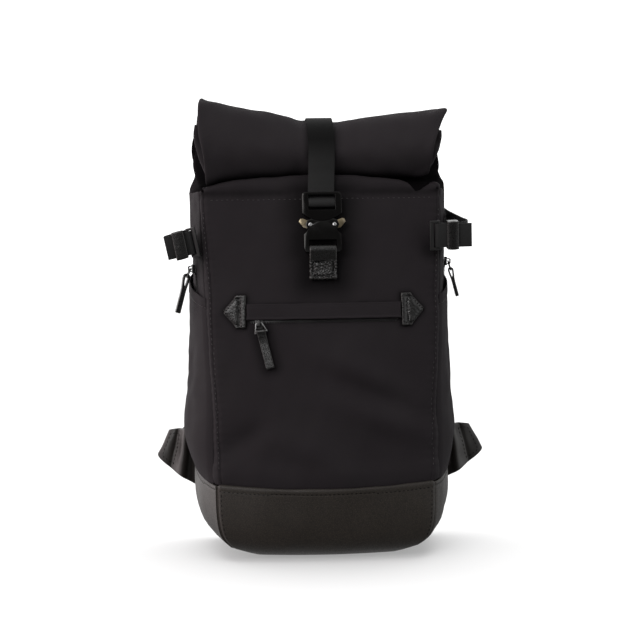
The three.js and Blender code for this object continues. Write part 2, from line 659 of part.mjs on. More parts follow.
// Zip: slider with a bridge, wire link that leans out of it, folded leather pull turned on the link's bar
function zip(name, frame, { lean, fold, swing, bridge, link, pull, width, layer }) {
  const foot = SLIDER.low + SLIDER.thick;
  const block = new THREE.BoxGeometry(SLIDER.width, SLIDER.length, SLIDER.thick);
  block.translate(0, 0, SLIDER.low + SLIDER.thick / 2);
  const { half, top, wall } = SLIDER_BRIDGE;
  const arch = new THREE.Shape(trapezoid(half, foot - wall, half - wall, top));
  arch.holes.push(new THREE.Path(trapezoid(half - wall, foot, half - 1.6 * wall, top - wall)));
  const loop = extrudeAcross(arch, SLIDER_BRIDGE.width).translate(0, bridge, 0);
  place(`zip_slider_${name}`, join(block, [loop], []), blackMetal, frame);
  const hanging = new THREE.Group();
  hanging.position.set(0, bridge, (foot + top - wall) / 2);
  hanging.rotation.set(THREE.MathUtils.degToRad(lean), 0, THREE.MathUtils.degToRad(swing));
  frame.add(hanging);
  const { lowHalf, topHalf, wire } = LINK;
  const outline = new THREE.Shape(trapezoid(lowHalf, link, topHalf, LINK.top));
  const inside = trapezoid(lowHalf - wire, link + wire, topHalf - wire, LINK.top - wire);
  outline.holes.push(new THREE.Path(inside));
  place(`zip_link_${name}`, extrude(outline, wire).translate(0, 0, -wire / 2), steel, hanging);
  const { inside: room, middleW, apart } = PULL;
  const off = apart + layer / 2;
  const strip = foldedStrip({ v: 0, w: 0 }, room, layer, middleW - off, middleW + off, -pull);
  const tongue = place(`zip_pull_${name}`, extrudeAcross(strip, width), leather, hanging);
  tongue.position.y = link + wire / 2;
  tongue.rotation.x = THREE.MathUtils.degToRad(fold);
}

// Side pocket: a cloth patch that stands off the wall, open along its slanted upper edge
function sidePocket({ name, sign }) {
  const wall = sign > 0 ? "right" : "left";
  const { front, rise, thick, seam, fullness } = POCKET_OPENING;
  const geometry = sheet(8, 9, (u, v, face) => {
    const back = THREE.MathUtils.lerp(seam, 1 - seam, u);
    const share = sign > 0 ? back : 1 - back;
    const opening = front + rise * back;
    const z = THREE.MathUtils.lerp(baseTop(wall, share) + 2 * GAP, opening, v);
    const { depth } = rowAt(POCKET_DEPTH, "share", v);
    const out = GAP + (depth - GAP) * Math.sin(Math.PI * u) ** fullness;
    return wallPoint(BODY_SECTIONS, wall, share, z, out + (face ? thick : 0));
  });
  place(`side_pocket_${name}`, geometry, cloth);
}

// Compression strap in the plan from the hook's bar: tail, turn round the bar, loop, way back to the wall
function sideStrap(side) {
  const { name, sign, barX, barY, tailX, bendX, hookTurn, hookTilt, strapZ, rise, clear } = side;
  const { width, thick, wrap } = SIDE_STRAP;
  const turn = THREE.MathUtils.degToRad(hookTurn);
  const around = [80, 130, 180, 230, 280].map((degrees) => {
    const angle = THREE.MathUtils.degToRad(degrees) - turn;
    return [wrap * Math.cos(angle), -wrap * Math.sin(angle)];
  });
  const { seamY, backY } = rowAt(BODY_SECTIONS, "z", strapZ);
  const onWall = (y) => {
    const share = (y - seamY) / (backY - seamY);
    return [wallPoint(BODY_SECTIONS, "right", share, strapZ, thick / 2 + clear).x - barX, y - barY];
  };
  const tail = tailX - barX;
  const bend = bendX - barX;
  const plan = [
    [tail, -wrap],
    [tail / 2, -wrap],
    ...around,
    ...SIDE_LOOP.map(({ share, behind }) => [bend * share, wrap + behind]),
    ...SIDE_LANDING.map(onWall),
  ];
  const stops = plan.map(([x, y]) => new THREE.Vector2(sign * x, y));
  const strap = new THREE.Group();
  strap.position.set(sign * barX, barY, strapZ);
  strap.rotation.set(THREE.MathUtils.degToRad(rise), sign * THREE.MathUtils.degToRad(hookTilt), 0);
  pack.add(strap);
  const band = extrude(bandOutline(stops, thick, 54), width).translate(0, 0, -width / 2);
  place(`side_strap_${name}`, band, webbing, strap);
  strapHook(side, strap, turn);
  strapKeeper(side, strap);
}

// Flat metal hook: an upright plate with a slot, the strap's bar beside it
function strapHook({ name, sign }, strap, turn) {
  const bar = SIDE_STRAP.halfBar;
  const box = (x0, x1, half) => anticlockwise([
    new THREE.Vector2(sign * x0, -half),
    new THREE.Vector2(sign * x1, -half),
    new THREE.Vector2(sign * x1, half),
    new THREE.Vector2(sign * x0, half),
  ]);
  const outline = new THREE.Shape(box(-HOOK.reach, bar, HOOK.halfHeight));
  outline.holes.push(new THREE.Path(box(-HOOK.slot, -bar, SIDE_STRAP.width / 2 + GAP)));
  const upright = new THREE.Matrix4().makeBasis(
    new THREE.Vector3(1, 0, 0),
    new THREE.Vector3(0, 0, 1),
    new THREE.Vector3(0, -1, 0),
  );
  const geometry = extrude(outline, 2 * bar).translate(0, 0, -bar).applyMatrix4(upright);
  place(`strap_hook_${name}`, geometry, blackMetal, strap).rotation.z = sign * turn;
}

// Leather keeper: a loop round the tail and the strap behind it
function strapKeeper({ name, sign, tailX, barX }, strap) {
  const { length, thick } = KEEPER;
  const across = SIDE_STRAP.wrap + SIDE_STRAP.thick / 2 + KEEPER.roomAcross;
  const up = SIDE_STRAP.width / 2 + KEEPER.roomUp;
  const loop = (more) => trapezoid(across + more, -up - more, across + more, up + more);
  const outline = new THREE.Shape(loop(thick));
  outline.holes.push(new THREE.Path(loop(0)));
  const middle = KEEPER.along * (tailX - barX);
  const keeper = place(`strap_keeper_${name}`, extrudeAcross(outline, length), leather, strap);
  keeper.position.set(sign * middle, KEEPER.behind, 0);
}

// Middle of a carrying strap at a share of its way, its heading, width direction and width
function shoulderAt(share) {
  const path = new THREE.CatmullRomCurve3(SHOULDER_PATH.map(({ x, y, z }) => new THREE.Vector3(x, y, z)));
  const along = path.getTangent(share);
  const wide = new THREE.Vector3(1, 0, 0).addScaledVector(along, -along.x).normalize();
  const widths = SHOULDER_PATH.map(({ width }, k) => ({ k, width }));
  const { width } = rowAt(widths, "k", share * (widths.length - 1));
  return { at: path.getPoint(share), along, wide, width };
}

// Padded carrying strap: a soft-edged bar lofted along its arch
function shoulderStrap({ name, sign }) {
  const rings = [];
  for (let i = 0; i <= SHOULDER.steps; i += 1) {
    const { at, along, wide, width } = shoulderAt(i / SHOULDER.steps);
    const deep = along.clone().cross(wide);
    const flat = { wide: width / 2, deep: SHOULDER.thick / 2 };
    const eased = { wide: flat.wide - SHOULDER.edge, deep: flat.deep - SHOULDER.edge };
    const quarter = [[flat.wide, eased.deep], [eased.wide, flat.deep]];
    const upper = [...quarter, ...quarter.toReversed().map(([a, b]) => [-a, b])];
    const section = [...upper, ...upper.toReversed().map(([a, b]) => [a, -b])];
    rings.push(section.map(([a, b]) => {
      const p = at.clone().addScaledVector(wide, a).addScaledVector(deep, b);
      return p.setX(sign * p.x);
    }));
  }
  place(`shoulder_strap_${name}`, loft(rings, false), padding);
}

// Edges of a wing: the table's rows with this side's reach, then a last one that meets the carrying strap
function wingEdges(reach) {
  const outwards = (x) => x + (reach - 1) * Math.max(0, x - WING_ROOT);
  const rows = WING_EDGES.map((row) => ({
    low: new THREE.Vector3(outwards(row.lowX), row.lowY, row.lowZ),
    high: new THREE.Vector3(outwards(row.highX), row.highY, row.highZ),
  }));
  const { at, along, wide, width } = shoulderAt(1);
  const end = at.clone().addScaledVector(along, WING.endGap);
  const half = width / 2 - SHOULDER.edge;
  const low = end.clone().addScaledVector(wide, -half);
  const high = end.clone().addScaledVector(wide, half);
  return [...rows, { low, high }];
}

function strapWing({ name, sign, wingReach }) {
  const edges = wingEdges(wingReach);
  const low = new THREE.CatmullRomCurve3(edges.map((edge) => edge.low));
  const high = new THREE.CatmullRomCurve3(edges.map((edge) => edge.high));
  const spot = (u, v) => low.getPoint(u).lerp(high.getPoint(u), v);
  const step = 0.01;
  const geometry = sheet(18, 2, (u, v, face) => {
    const along = spot(Math.min(u + step, 1), v).sub(spot(Math.max(u - step, 0), v));
    const up = spot(u, 1).sub(spot(u, 0));
    const away = along.cross(up).normalize().multiplyScalar((face - 0.5) * WING.cloth);
    const p = spot(u, v).add(away);
    return p.setX(sign * p.x);
  });
  place(`strap_wing_${name}`, geometry, webbing);
}

leatherBase();
wallPanel("front_panel", "front", CLOTH, 16, 15, cloth);
wallPanel("side_panel_left", "left", CLOTH, 8, 9, cloth);
wallPanel("side_panel_right", "right", CLOTH, 8, 9, cloth);
wallPanel("back_panel", "back", BACK_PAD, 6, 6, padding);
collar();
rollTop();
closureStrap();
buckleFrame();
buckleBody();
buckleTab();
pocketWelt();
zip("front", frontFrame(FRONT_ZIP.x, FRONT_ZIP.z), FRONT_ZIP);
for (const side of SIDES) {
  releaseLever(side);
  rivet(side);
  pocketTab(side);
  sidePocket(side);
  zip(side.name, sideFrame(side, side.zipAlong, side.zipZ), side.zip);
  sideStrap(side);
  shoulderStrap(side);
  strapWing(side);
}

export default pack;
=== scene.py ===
# %% [markdown]
# # A roll-top camera backpack
# The pack is a soft box of dark coated cloth on a leather tub. Its top is rolled down and held by one strap
# with a metal buckle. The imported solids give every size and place. This lesson loads them as a fixed frame
# and dresses each one: cloth as thin curved sheets, pads by a short cloth simulation, metal with eased
# edges.

# %% load the frame
import math

import bmesh
import bpy
import numpy as np
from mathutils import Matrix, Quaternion, Vector
from mathutils.bvhtree import BVHTree


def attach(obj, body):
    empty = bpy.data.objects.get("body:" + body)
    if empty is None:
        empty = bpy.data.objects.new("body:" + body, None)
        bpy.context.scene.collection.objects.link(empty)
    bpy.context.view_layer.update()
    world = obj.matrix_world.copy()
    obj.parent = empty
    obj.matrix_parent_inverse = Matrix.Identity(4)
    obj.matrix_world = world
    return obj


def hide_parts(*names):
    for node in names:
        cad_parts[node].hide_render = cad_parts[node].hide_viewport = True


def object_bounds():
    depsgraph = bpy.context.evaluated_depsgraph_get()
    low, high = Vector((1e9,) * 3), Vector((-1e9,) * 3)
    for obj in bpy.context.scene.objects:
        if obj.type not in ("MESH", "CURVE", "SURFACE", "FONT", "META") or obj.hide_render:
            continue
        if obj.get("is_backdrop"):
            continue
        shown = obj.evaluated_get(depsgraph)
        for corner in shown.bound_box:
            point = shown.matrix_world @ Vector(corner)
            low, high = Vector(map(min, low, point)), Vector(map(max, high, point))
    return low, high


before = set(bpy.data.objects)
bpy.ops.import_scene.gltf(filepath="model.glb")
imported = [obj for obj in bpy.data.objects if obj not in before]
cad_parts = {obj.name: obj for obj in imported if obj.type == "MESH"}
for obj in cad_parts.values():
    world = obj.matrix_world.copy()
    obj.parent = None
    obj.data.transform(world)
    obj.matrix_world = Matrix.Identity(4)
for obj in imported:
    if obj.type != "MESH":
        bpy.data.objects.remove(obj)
cad_box = [list(corner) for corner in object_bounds()]
MM = 0.001
SIGN = {"left": -1, "right": 1}
MIRROR = {side: np.array([sign, 1, 1]) for side, sign in SIGN.items()}
ZIP_PLACES = ("front", "left", "right")
print("solids:", len(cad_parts), "box:", cad_box)

# %% [markdown]
# ## Camera
# The pack was seen from almost straight ahead, a little from its left and a little from above, through a
# long lens. The lens in pixels and the distance were found by laying the solids' outline over the
# picture's, so the camera is set from those numbers and not by eye. A small roll levels the pack as the
# picture has it.

# %% camera
PICTURE_PX = 640
LENS_PX = 2125
SENSOR_MM = 36
CAMERA = {"azimuth": -3.0, "elevation": 3.0, "distance": 2.21, "roll": -0.9}
CAMERA_TARGET = Vector((0, 0, 0.237))


def shown(name, data):
    """A new object in the scene, at the origin."""
    thing = bpy.data.objects.new(name, data)
    bpy.context.scene.collection.objects.link(thing)
    return thing


camera_data = bpy.data.cameras.new("photo_camera")
camera_data.sensor_width = SENSOR_MM
camera_data.lens = SENSOR_MM * LENS_PX / PICTURE_PX
camera = shown("photo_camera", camera_data)
turn, rise = math.radians(CAMERA["azimuth"]), math.radians(CAMERA["elevation"])
back = Vector((math.sin(turn) * math.cos(rise), -math.cos(turn) * math.cos(rise), math.sin(rise)))
camera.location = CAMERA_TARGET + back * CAMERA["distance"]
level = (-back).to_track_quat("-Z", "Y")
camera.rotation_mode = "QUATERNION"
camera.rotation_quaternion = level @ Quaternion((0, 0, 1), math.radians(CAMERA["roll"]))
bpy.context.scene.camera = camera
print("lens", round(camera_data.lens, 1), "mm")

# %% [markdown]
# ## Studio
# The picture is a plain product shot: a white sweep, soft light from behind and from both sides, and a dark
# room behind the camera. That darkness is what keeps the black cloth black, while its edges pick up the
# white. The sky is a few lines of arithmetic on the direction of the ray, and only the camera sees it plain
# white. One small bright patch in front, high on the left, gives the metal and the leather their glints.
# The floor has a lamp of its own, so that its soft shadow can be set without changing the light on the
# pack, and light bounced off the floor is left out, because the pack stands on a dark patch of its own
# shadow.

# %% studio
SKY = {"front": 0.555, "back": 1.5, "left": 1.0, "right": 0.4, "back_right": -1.0}
SKY |= {"top": 0.1, "below": 0.32, "behind_camera": 0.3, "seen": 1.1}
SKY_LEFT_TINT = (1.0, 0.9, 0.91, 1)
# Parts of the sky: the axis along which each changes, where it begins and where it is full
SKY_PARTS = {
    "back": ("y", -0.35, 0.45), "behind_camera": ("y", -0.66, -0.88), "left": ("x", -0.4, -0.95),
    "right": ("x", 0.5, 0.95), "back_right": ("x", 0.1, 0.55), "low": ("z", 0.85, 0.25),
    "top": ("z", 0.6, 0.9), "below": ("z", 0.0, -0.3),
}
KEY = {"from": Vector((-0.42, -0.78, 0.47)).normalized(), "edge": 0.955, "core": 0.985, "power": 4.0}
FLOOR = {"half": 9.0, "colour": 0.39, "glow": 0.34}
FLOOR_LAMP = {"angle": 65, "lean": 25, "power": 4.9}


def wire(tree, socket, value):
    """Feeds a socket from another socket, or gives it a value."""
    if isinstance(value, bpy.types.NodeSocket):
        tree.links.new(value, socket)
    else:
        socket.default_value = value


def add_node(tree, kind, given=None, **settings):
    """One node with its settings, such as operation, and what is given to its inputs, by name or number."""
    node = tree.nodes.new(kind)
    for key, value in settings.items():
        setattr(node, key, value)
    for name, value in (given or {}).items():
        wire(tree, node.inputs[name], value)
    return node


def sums(tree, operation, a, b=0.0, c=0.0):
    """One Math node and its result."""
    return add_node(tree, "ShaderNodeMath", {0: a, 1: b, 2: c}, operation=operation).outputs[0]


def ease(tree, value, low, high):
    """0 below low, 1 above high, smooth between."""
    given = {"Value": value, "From Min": low, "From Max": high}
    return add_node(tree, "ShaderNodeMapRange", given, interpolation_type="SMOOTHSTEP").outputs[0]


def blend(tree, share, low, high):
    """A colour between two, by a mask."""
    node = add_node(tree, "ShaderNodeMix", data_type="RGBA")
    for name, value in (("Factor_Float", share), ("A_Color", low), ("B_Color", high)):
        wire(tree, next(s for s in node.inputs if s.identifier == name), value)
    return next(s for s in node.outputs if s.identifier == "Result_Color")


def studio_sky():
    world = bpy.data.worlds.new("studio")
    world.use_nodes = True
    tree = world.node_tree
    tree.nodes.clear()
    direction = add_node(tree, "ShaderNodeTexCoord").outputs["Generated"]
    axes = dict(zip("xyz", add_node(tree, "ShaderNodeSeparateXYZ", {0: direction}).outputs))
    part = {name: ease(tree, axes[axis], begin, full) for name, (axis, begin, full) in SKY_PARTS.items()}
    behind = sums(tree, "MULTIPLY_ADD", part["back_right"], SKY["back_right"], SKY["back"] - SKY["front"])
    light = sums(tree, "MULTIPLY", part["back"], behind)
    for name in ("left", "right"):
        light = sums(tree, "MULTIPLY_ADD", part[name], SKY[name], light)
    light = sums(tree, "MULTIPLY_ADD", light, part["low"], SKY["front"])
    light = sums(tree, "MULTIPLY_ADD", part["top"], SKY["top"], light)
    below = sums(tree, "MULTIPLY_ADD", part["below"], SKY["below"] - 1, 1.0)
    light = sums(tree, "MULTIPLY", light, below)
    card = sums(tree, "MULTIPLY_ADD", part["behind_camera"], SKY["behind_camera"] - 1, 1.0)
    towards = add_node(tree, "ShaderNodeVectorMath", {0: direction, 1: KEY["from"]}, operation="DOT_PRODUCT")
    key = sums(tree, "MULTIPLY", ease(tree, towards.outputs["Value"], KEY["edge"], KEY["core"]), KEY["power"])
    light = sums(tree, "MULTIPLY_ADD", light, card, key)
    seen = add_node(tree, "ShaderNodeLightPath").outputs["Is Camera Ray"]
    strength = sums(tree, "MAXIMUM", sums(tree, "MULTIPLY", seen, SKY["seen"]), light)
    plain = sums(tree, "SUBTRACT", 1.0, seen)
    tint = blend(tree, sums(tree, "MULTIPLY", part["left"], plain), (1, 1, 1, 1), SKY_LEFT_TINT)
    backdrop = add_node(tree, "ShaderNodeBackground", {"Color": tint, "Strength": strength})
    add_node(tree, "ShaderNodeOutputWorld", {"Surface": backdrop.outputs[0]})
    bpy.context.scene.world = world


def finish_start(name, constants):
    """A new material: its tree and its shader, with the constants on the shader's own sockets."""
    made = bpy.data.materials.new(name)
    made.use_nodes = True
    shader = made.node_tree.nodes["Principled BSDF"]
    for socket, value in constants.items():
        shader.inputs[socket].default_value = value
    return made, made.node_tree, shader


def pale_floor():
    half = FLOOR["half"]
    mesh = bpy.data.meshes.new("floor")
    corners = [(-half, -half, 0), (half, -half, 0), (half, half, 0), (-half, half, 0)]
    mesh.from_pydata(corners, [], [(0, 1, 2, 3)])
    floor = shown("floor", mesh)
    constants = {"Base Color": (FLOOR["colour"],) * 3 + (1,), "Roughness": 0.9, "Specular IOR Level": 0.0}
    constants |= {"Emission Color": (1, 1, 1, 1), "Emission Strength": FLOOR["glow"]}
    mesh.materials.append(finish_start("floor_paint", constants)[0])
    floor.visible_diffuse = floor.visible_glossy = False
    floor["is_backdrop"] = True
    return floor


def floor_lamp(floor):
    """A soft lamp above and behind that lights only the floor, for the shadow under the pack."""
    data = bpy.data.lights.new("floor_lamp", "SUN")
    data.angle, data.energy = math.radians(FLOOR_LAMP["angle"]), FLOOR_LAMP["power"]
    lamp = shown("floor_lamp", data)
    lamp.rotation_euler = (-math.radians(FLOOR_LAMP["lean"]), 0, 0)
    lit = bpy.data.collections.new("lit_by_floor_lamp")
    lit.objects.link(floor)
    lamp.light_linking.receiver_collection = lit


studio_sky()
floor_lamp(pale_floor())
bpy.context.scene.view_settings.view_transform = "Standard"
print("studio lit")

# %% [markdown]
# ## Effects that several finishes share
# Cloth and webbing show a plain weave and a little lint, leather shows a pebbled grain, and leather and
# metal get paler on their high spots: on leather as wear, on metal partly as wear and partly as a painted
# highlight on the edges. Each effect is a node group with named inputs, so that one material can ask for a
# fine weave and another for a coarse one. The groups give masks and heights only, and the shader stays in
# the material.

# %% shader groups


def effect(name, sizes, outputs):
    """An empty node group for a place and some sizes: its tree, its inputs by name, its output node."""
    tree = bpy.data.node_groups.new(name, "ShaderNodeTree")
    tree.interface.new_socket("Place", in_out="INPUT", socket_type="NodeSocketVector")
    for label, value in sizes.items():
        socket = tree.interface.new_socket(label, in_out="INPUT", socket_type="NodeSocketFloat")
        socket.default_value = value
    for label in outputs:
        tree.interface.new_socket(label, in_out="OUTPUT", socket_type="NodeSocketFloat")
    entry = add_node(tree, "NodeGroupInput")
    return tree, entry.outputs, add_node(tree, "NodeGroupOutput")


def noise(tree, place, scale, detail):
    given = {"Vector": place, "Scale": scale, "Detail": detail, "Roughness": 0.55}
    return add_node(tree, "ShaderNodeTexNoise", given).outputs["Fac"]


def weave_effect():
    """Threads over and under each other, one pitch apart, as a height."""
    tree, given, result = effect("weave", {"Pitch": 0.001}, ["Height"])
    axes = add_node(tree, "ShaderNodeSeparateXYZ", {0: given["Place"]}).outputs
    turns = sums(tree, "DIVIDE", 2 * math.pi, given["Pitch"])
    across, up = (sums(tree, "SINE", sums(tree, "MULTIPLY", axes[i], turns)) for i in (0, 1))
    height = sums(tree, "MULTIPLY_ADD", sums(tree, "MULTIPLY", across, up), 0.5, 0.5)
    slub = noise(tree, given["Place"], 420, 2.0)
    wire(tree, result.inputs["Height"], sums(tree, "MULTIPLY_ADD", slub, 0.6, height))
    return tree


def grain_effect():
    """Pebbles of leather: domes between creases, and the creases as a mask."""
    tree, given, result = effect("leather_grain", {"Size": 0.0014}, ["Height", "Crease"])
    scale = sums(tree, "DIVIDE", 1.0, given["Size"])
    spread = {"Vector": given["Place"], "Scale": scale}
    cells = add_node(tree, "ShaderNodeTexVoronoi", spread, feature="DISTANCE_TO_EDGE")
    dome = ease(tree, cells.outputs["Distance"], 0.0, 0.32)
    broad = noise(tree, given["Place"], sums(tree, "MULTIPLY", scale, 0.14), 4.0)
    wire(tree, result.inputs["Height"], sums(tree, "MULTIPLY_ADD", broad, 1.4, dome))
    wire(tree, result.inputs["Crease"], sums(tree, "SUBTRACT", 1.0, dome))
    return tree


def handling_effect():
    """Broad uneven patches, fine lint, and pale high spots: wear, and on metal also a painted highlight."""
    tree, given, result = effect("handling", {"Patch": 0.06, "Edge": 0.505}, ["Patches", "Lint", "Rub_and_glint"])
    patch = sums(tree, "DIVIDE", 1.0, given["Patch"])
    wire(tree, result.inputs["Patches"], noise(tree, given["Place"], patch, 3.0))
    wire(tree, result.inputs["Lint"], ease(tree, noise(tree, given["Place"], 900, 1.0), 0.70, 0.80))
    high = add_node(tree, "ShaderNodeNewGeometry").outputs["Pointiness"]
    wire(tree, result.inputs["Rub_and_glint"], ease(tree, high, given["Edge"], sums(tree, "ADD", given["Edge"], 0.055)))
    return tree


WEAVE, GRAIN, HANDLING = weave_effect(), grain_effect(), handling_effect()
print("effects:", [group.name for group in bpy.data.node_groups])

# %% [markdown]
# ## Finishes
# Each finish starts from one shader with its plain constants on its own sockets. Colour, roughness and bump
# then vary over the surface. The cloth is nearly black with a hint of plum and only shines at a glancing
# angle. The leather is a warmer black with a waxed sheen. The webbing is smooth and dense, the buckle is
# black and glossy.

# %% finishes
# Pale grey for lint, and near-black for painted shade
LINT, PAINTED_SHADE_BLACK = (0.09, 0.085, 0.085, 1), (0.0005, 0.0005, 0.0005, 1)
CREASED_LEATHER, RUBBED_LEATHER = (0.003, 0.0026, 0.0024, 1), (0.045, 0.04, 0.036, 1)


def use(tree, group, place, **values):
    """One effect placed in a material, with its own values."""
    given = {"Place": place} | {name.capitalize(): value for name, value in values.items()}
    return add_node(tree, "ShaderNodeGroup", given, node_tree=group).outputs


def raise_surface(tree, shader, height, strength, distance):
    bump = add_node(tree, "ShaderNodeBump", {"Strength": strength, "Distance": distance, "Height": height})
    wire(tree, shader.inputs["Normal"], bump.outputs[0])


def place_of(tree, by_cut):
    """Object coordinates, or the piece's own cut pattern in metres."""
    if by_cut:
        return add_node(tree, "ShaderNodeUVMap", uv_map="cut").outputs[0]
    return add_node(tree, "ShaderNodeTexCoord").outputs["Object"]


def woven(name, dark, pale, rough, shine, pitch, depth, by_cut=True):
    """Cloth or webbing: a weave in the cut's own directions, uneven dye, a little lint and painted shade."""
    made, tree, shader = finish_start(name, {"Specular IOR Level": shine})
    place = place_of(tree, by_cut)
    threads = use(tree, WEAVE, place, pitch=pitch)
    marks = use(tree, HANDLING, add_node(tree, "ShaderNodeTexCoord").outputs["Object"], patch=0.07)
    dyed = blend(tree, marks["Patches"], dark, pale)
    dusty = blend(tree, sums(tree, "MULTIPLY", marks["Lint"], 0.12), dyed, LINT)
    # Painted shade: the colour goes towards near-black where the mesh's shade attribute asks
    close = add_node(tree, "ShaderNodeAttribute", attribute_name="shade").outputs["Fac"]
    wire(tree, shader.inputs["Base Color"], blend(tree, close, dusty, PAINTED_SHADE_BLACK))
    wire(tree, shader.inputs["Roughness"], sums(tree, "MULTIPLY_ADD", marks["Patches"], 0.14, rough - 0.07))
    raise_surface(tree, shader, threads["Height"], 0.5, depth)
    return made


def hide(name, dark, pale, rough, shine, size, depth, crinkle):
    """Leather: grain, crinkles, darker creases, high spots worn paler and a waxed sheen."""
    made, tree, shader = finish_start(name, {"Specular IOR Level": shine})
    place = place_of(tree, False)
    pebbles = use(tree, GRAIN, place, size=size)
    marks = use(tree, HANDLING, place, patch=0.05)
    toned = blend(tree, marks["Patches"], dark, pale)
    creased = blend(tree, sums(tree, "MULTIPLY", pebbles["Crease"], 0.6), toned, CREASED_LEATHER)
    worn = sums(tree, "MULTIPLY", marks["Rub_and_glint"], 0.35)
    wire(tree, shader.inputs["Base Color"], blend(tree, worn, creased, RUBBED_LEATHER))
    dull = sums(tree, "MULTIPLY_ADD", pebbles["Crease"], 0.15, rough - 0.06)
    wire(tree, shader.inputs["Roughness"], sums(tree, "MULTIPLY_ADD", marks["Patches"], 0.16, dull))
    folds = sums(tree, "MULTIPLY", noise(tree, place, 320, 3.0), crinkle)
    raise_surface(tree, shader, sums(tree, "ADD", pebbles["Height"], folds), 0.4, depth)
    return made


def metal(name, colour, rough, metallic=1.0):
    """Metal, or paint on it: fine uneven polish, paler edges as wear and as a painted highlight."""
    made, tree, shader = finish_start(name, {"Metallic": metallic})
    place = place_of(tree, False)
    marks = use(tree, HANDLING, place, patch=0.008, edge=0.525)
    # Paler edges: partly wear, partly a painted highlight
    worn_and_glinting = tuple(min(1.0, c * 1.4 + 0.1 * metallic) for c in colour[:3]) + (1,)
    wire(tree, shader.inputs["Base Color"], blend(tree, marks["Rub_and_glint"], colour, worn_and_glinting))
    wire(tree, shader.inputs["Roughness"], sums(tree, "MULTIPLY_ADD", marks["Patches"], 0.12, rough - 0.05))
    raise_surface(tree, shader, noise(tree, place, 1800, 2.0), 0.1, 0.00004)
    return made


CLOTH = woven(
    "coated_cloth", (0.022, 0.0177, 0.0207, 1), (0.032, 0.0285, 0.0305, 1),
    rough=0.74, shine=0.08, pitch=0.0009, depth=0.00012,
)
# A darker, duller copy of the cloth for the collar: painted shade, as the collar lies in shade behind the
# roll
SHADED_CLOTH = woven(
    "shaded_cloth", (0.014, 0.0115, 0.0135, 1), (0.02, 0.0175, 0.019, 1),
    rough=0.9, shine=0.01, pitch=0.0009, depth=0.00012,
)
WEBBING = woven(
    "strap_webbing", (0.026, 0.026, 0.026, 1), (0.038, 0.038, 0.038, 1),
    rough=0.6, shine=0.06, pitch=0.0012, depth=0.0001,
)
BELT = woven(
    "belt_webbing", (0.023, 0.0202, 0.0184, 1), (0.036, 0.032, 0.0295, 1),
    rough=0.32, shine=0.5, pitch=0.0014, depth=0.0001,
)
PADDING = woven(
    "pad_mesh", (0.008, 0.0075, 0.008, 1), (0.013, 0.012, 0.013, 1),
    rough=0.8, shine=0.25, pitch=0.0024, depth=0.0005,
)
BASE_LEATHER = hide(
    "base_leather", (0.031, 0.0245, 0.0186, 1), (0.047, 0.0373, 0.029, 1),
    rough=0.4, shine=0.45, size=0.0016, depth=0.00005, crinkle=0.0,
)
TRIM_LEATHER = hide(
    "trim_leather", (0.0024, 0.0021, 0.0018, 1), (0.005, 0.0043, 0.0038, 1),
    rough=0.2, shine=0.75, size=0.0013, depth=0.00014, crinkle=1.0,
)
BLACK_METAL = metal("black_plating", (0.026, 0.025, 0.0245, 1), rough=0.13)
BLACK_PAINT = metal("black_paint", (0.02, 0.0198, 0.0196, 1), rough=0.36, metallic=0.0)
BRASS = metal("satin_brass", (0.27, 0.22, 0.142, 1), rough=0.3)
STEEL = metal("bright_steel", (0.8, 0.8, 0.8, 1), rough=0.22)
WIRE = metal("dull_steel", (0.18, 0.18, 0.18, 1), rough=0.3)
THREAD = woven(
    "waxed_thread", (0.028, 0.026, 0.026, 1), (0.048, 0.045, 0.045, 1),
    rough=0.4, shine=0.5, pitch=0.0006, depth=0.0001, by_cut=False,
)
# Near-black thread for the leather's stitches: its black is also painted shade in the stitch holes
HOLE_SHADE_THREAD = woven(
    "thread_and_hole_shade", (0.001, 0.001, 0.001, 1), (0.002, 0.002, 0.002, 1),
    rough=0.6, shine=0.1, pitch=0.0006, depth=0.0001, by_cut=False,
)
print("finishes:", len(bpy.data.materials))

# %% [markdown]
# ## Helpers for cloth
# A sheet of cloth is one smooth middle surface with a thickness. The surface is a grid of points from a
# formula. Moving it half a thickness along its own normals, both ways, gives the two faces, and letting the
# thickness run out at the border rounds the cut edge. The grid's own lengths become a UV map named cut, in
# metres, so the weave follows the cloth like a sewing pattern.

# %% sheet helpers


def between_rows(rows, at):
    """Rows of a table at places between them, on smooth curves through all rows; column 0 is the place."""
    axis = rows[:, 0]
    slopes = np.gradient(rows, axis, axis=0, edge_order=1)
    slopes[1:-1] = (rows[2:] - rows[:-2]) / (axis[2:] - axis[:-2])[:, None]
    at = np.asarray(at, float)
    i = np.clip(np.searchsorted(axis[1:-1], at, side="left"), 0, len(axis) - 2)
    span = (axis[i + 1] - axis[i])[..., None]
    s = np.clip((at - axis[i])[..., None] / span, 0, 1)
    rise = rows[i + 1] - rows[i]
    a, b = slopes[i] * span - rise, rise - slopes[i + 1] * span
    return rows[i] + rise * s + s * (1 - s) * ((1 - s) * a + s * b)


def stops(count, length, thick):
    """Shares along a side of a sheet: even, with a few more near both cut edges."""
    near = np.array([0, 0.12, 0.4, 0.8]) * thick / length
    inset = 1.4 * thick / length
    return np.concatenate([near, np.linspace(inset, 1 - inset, count), 1 - near[::-1]])


def normals_of(points, wrap=False):
    """Unit normals of a grid of points, the first axis up and the second across."""
    wide = np.concatenate([points[:, -2:], points, points[:, :2]], axis=1) if wrap else points
    across, up = np.gradient(wide, axis=1), np.gradient(wide, axis=0)
    out = np.cross(across, up)
    out /= np.maximum(np.linalg.norm(out, axis=-1, keepdims=True), 1e-12)
    return out[:, 2:-2] if wrap else out


def run_lengths(points, axis):
    steps = np.linalg.norm(np.diff(points, axis=axis), axis=-1)
    pad = [(0, 0), (0, 0)]
    pad[axis] = (1, 0)
    return np.cumsum(np.pad(steps, pad), axis=axis)


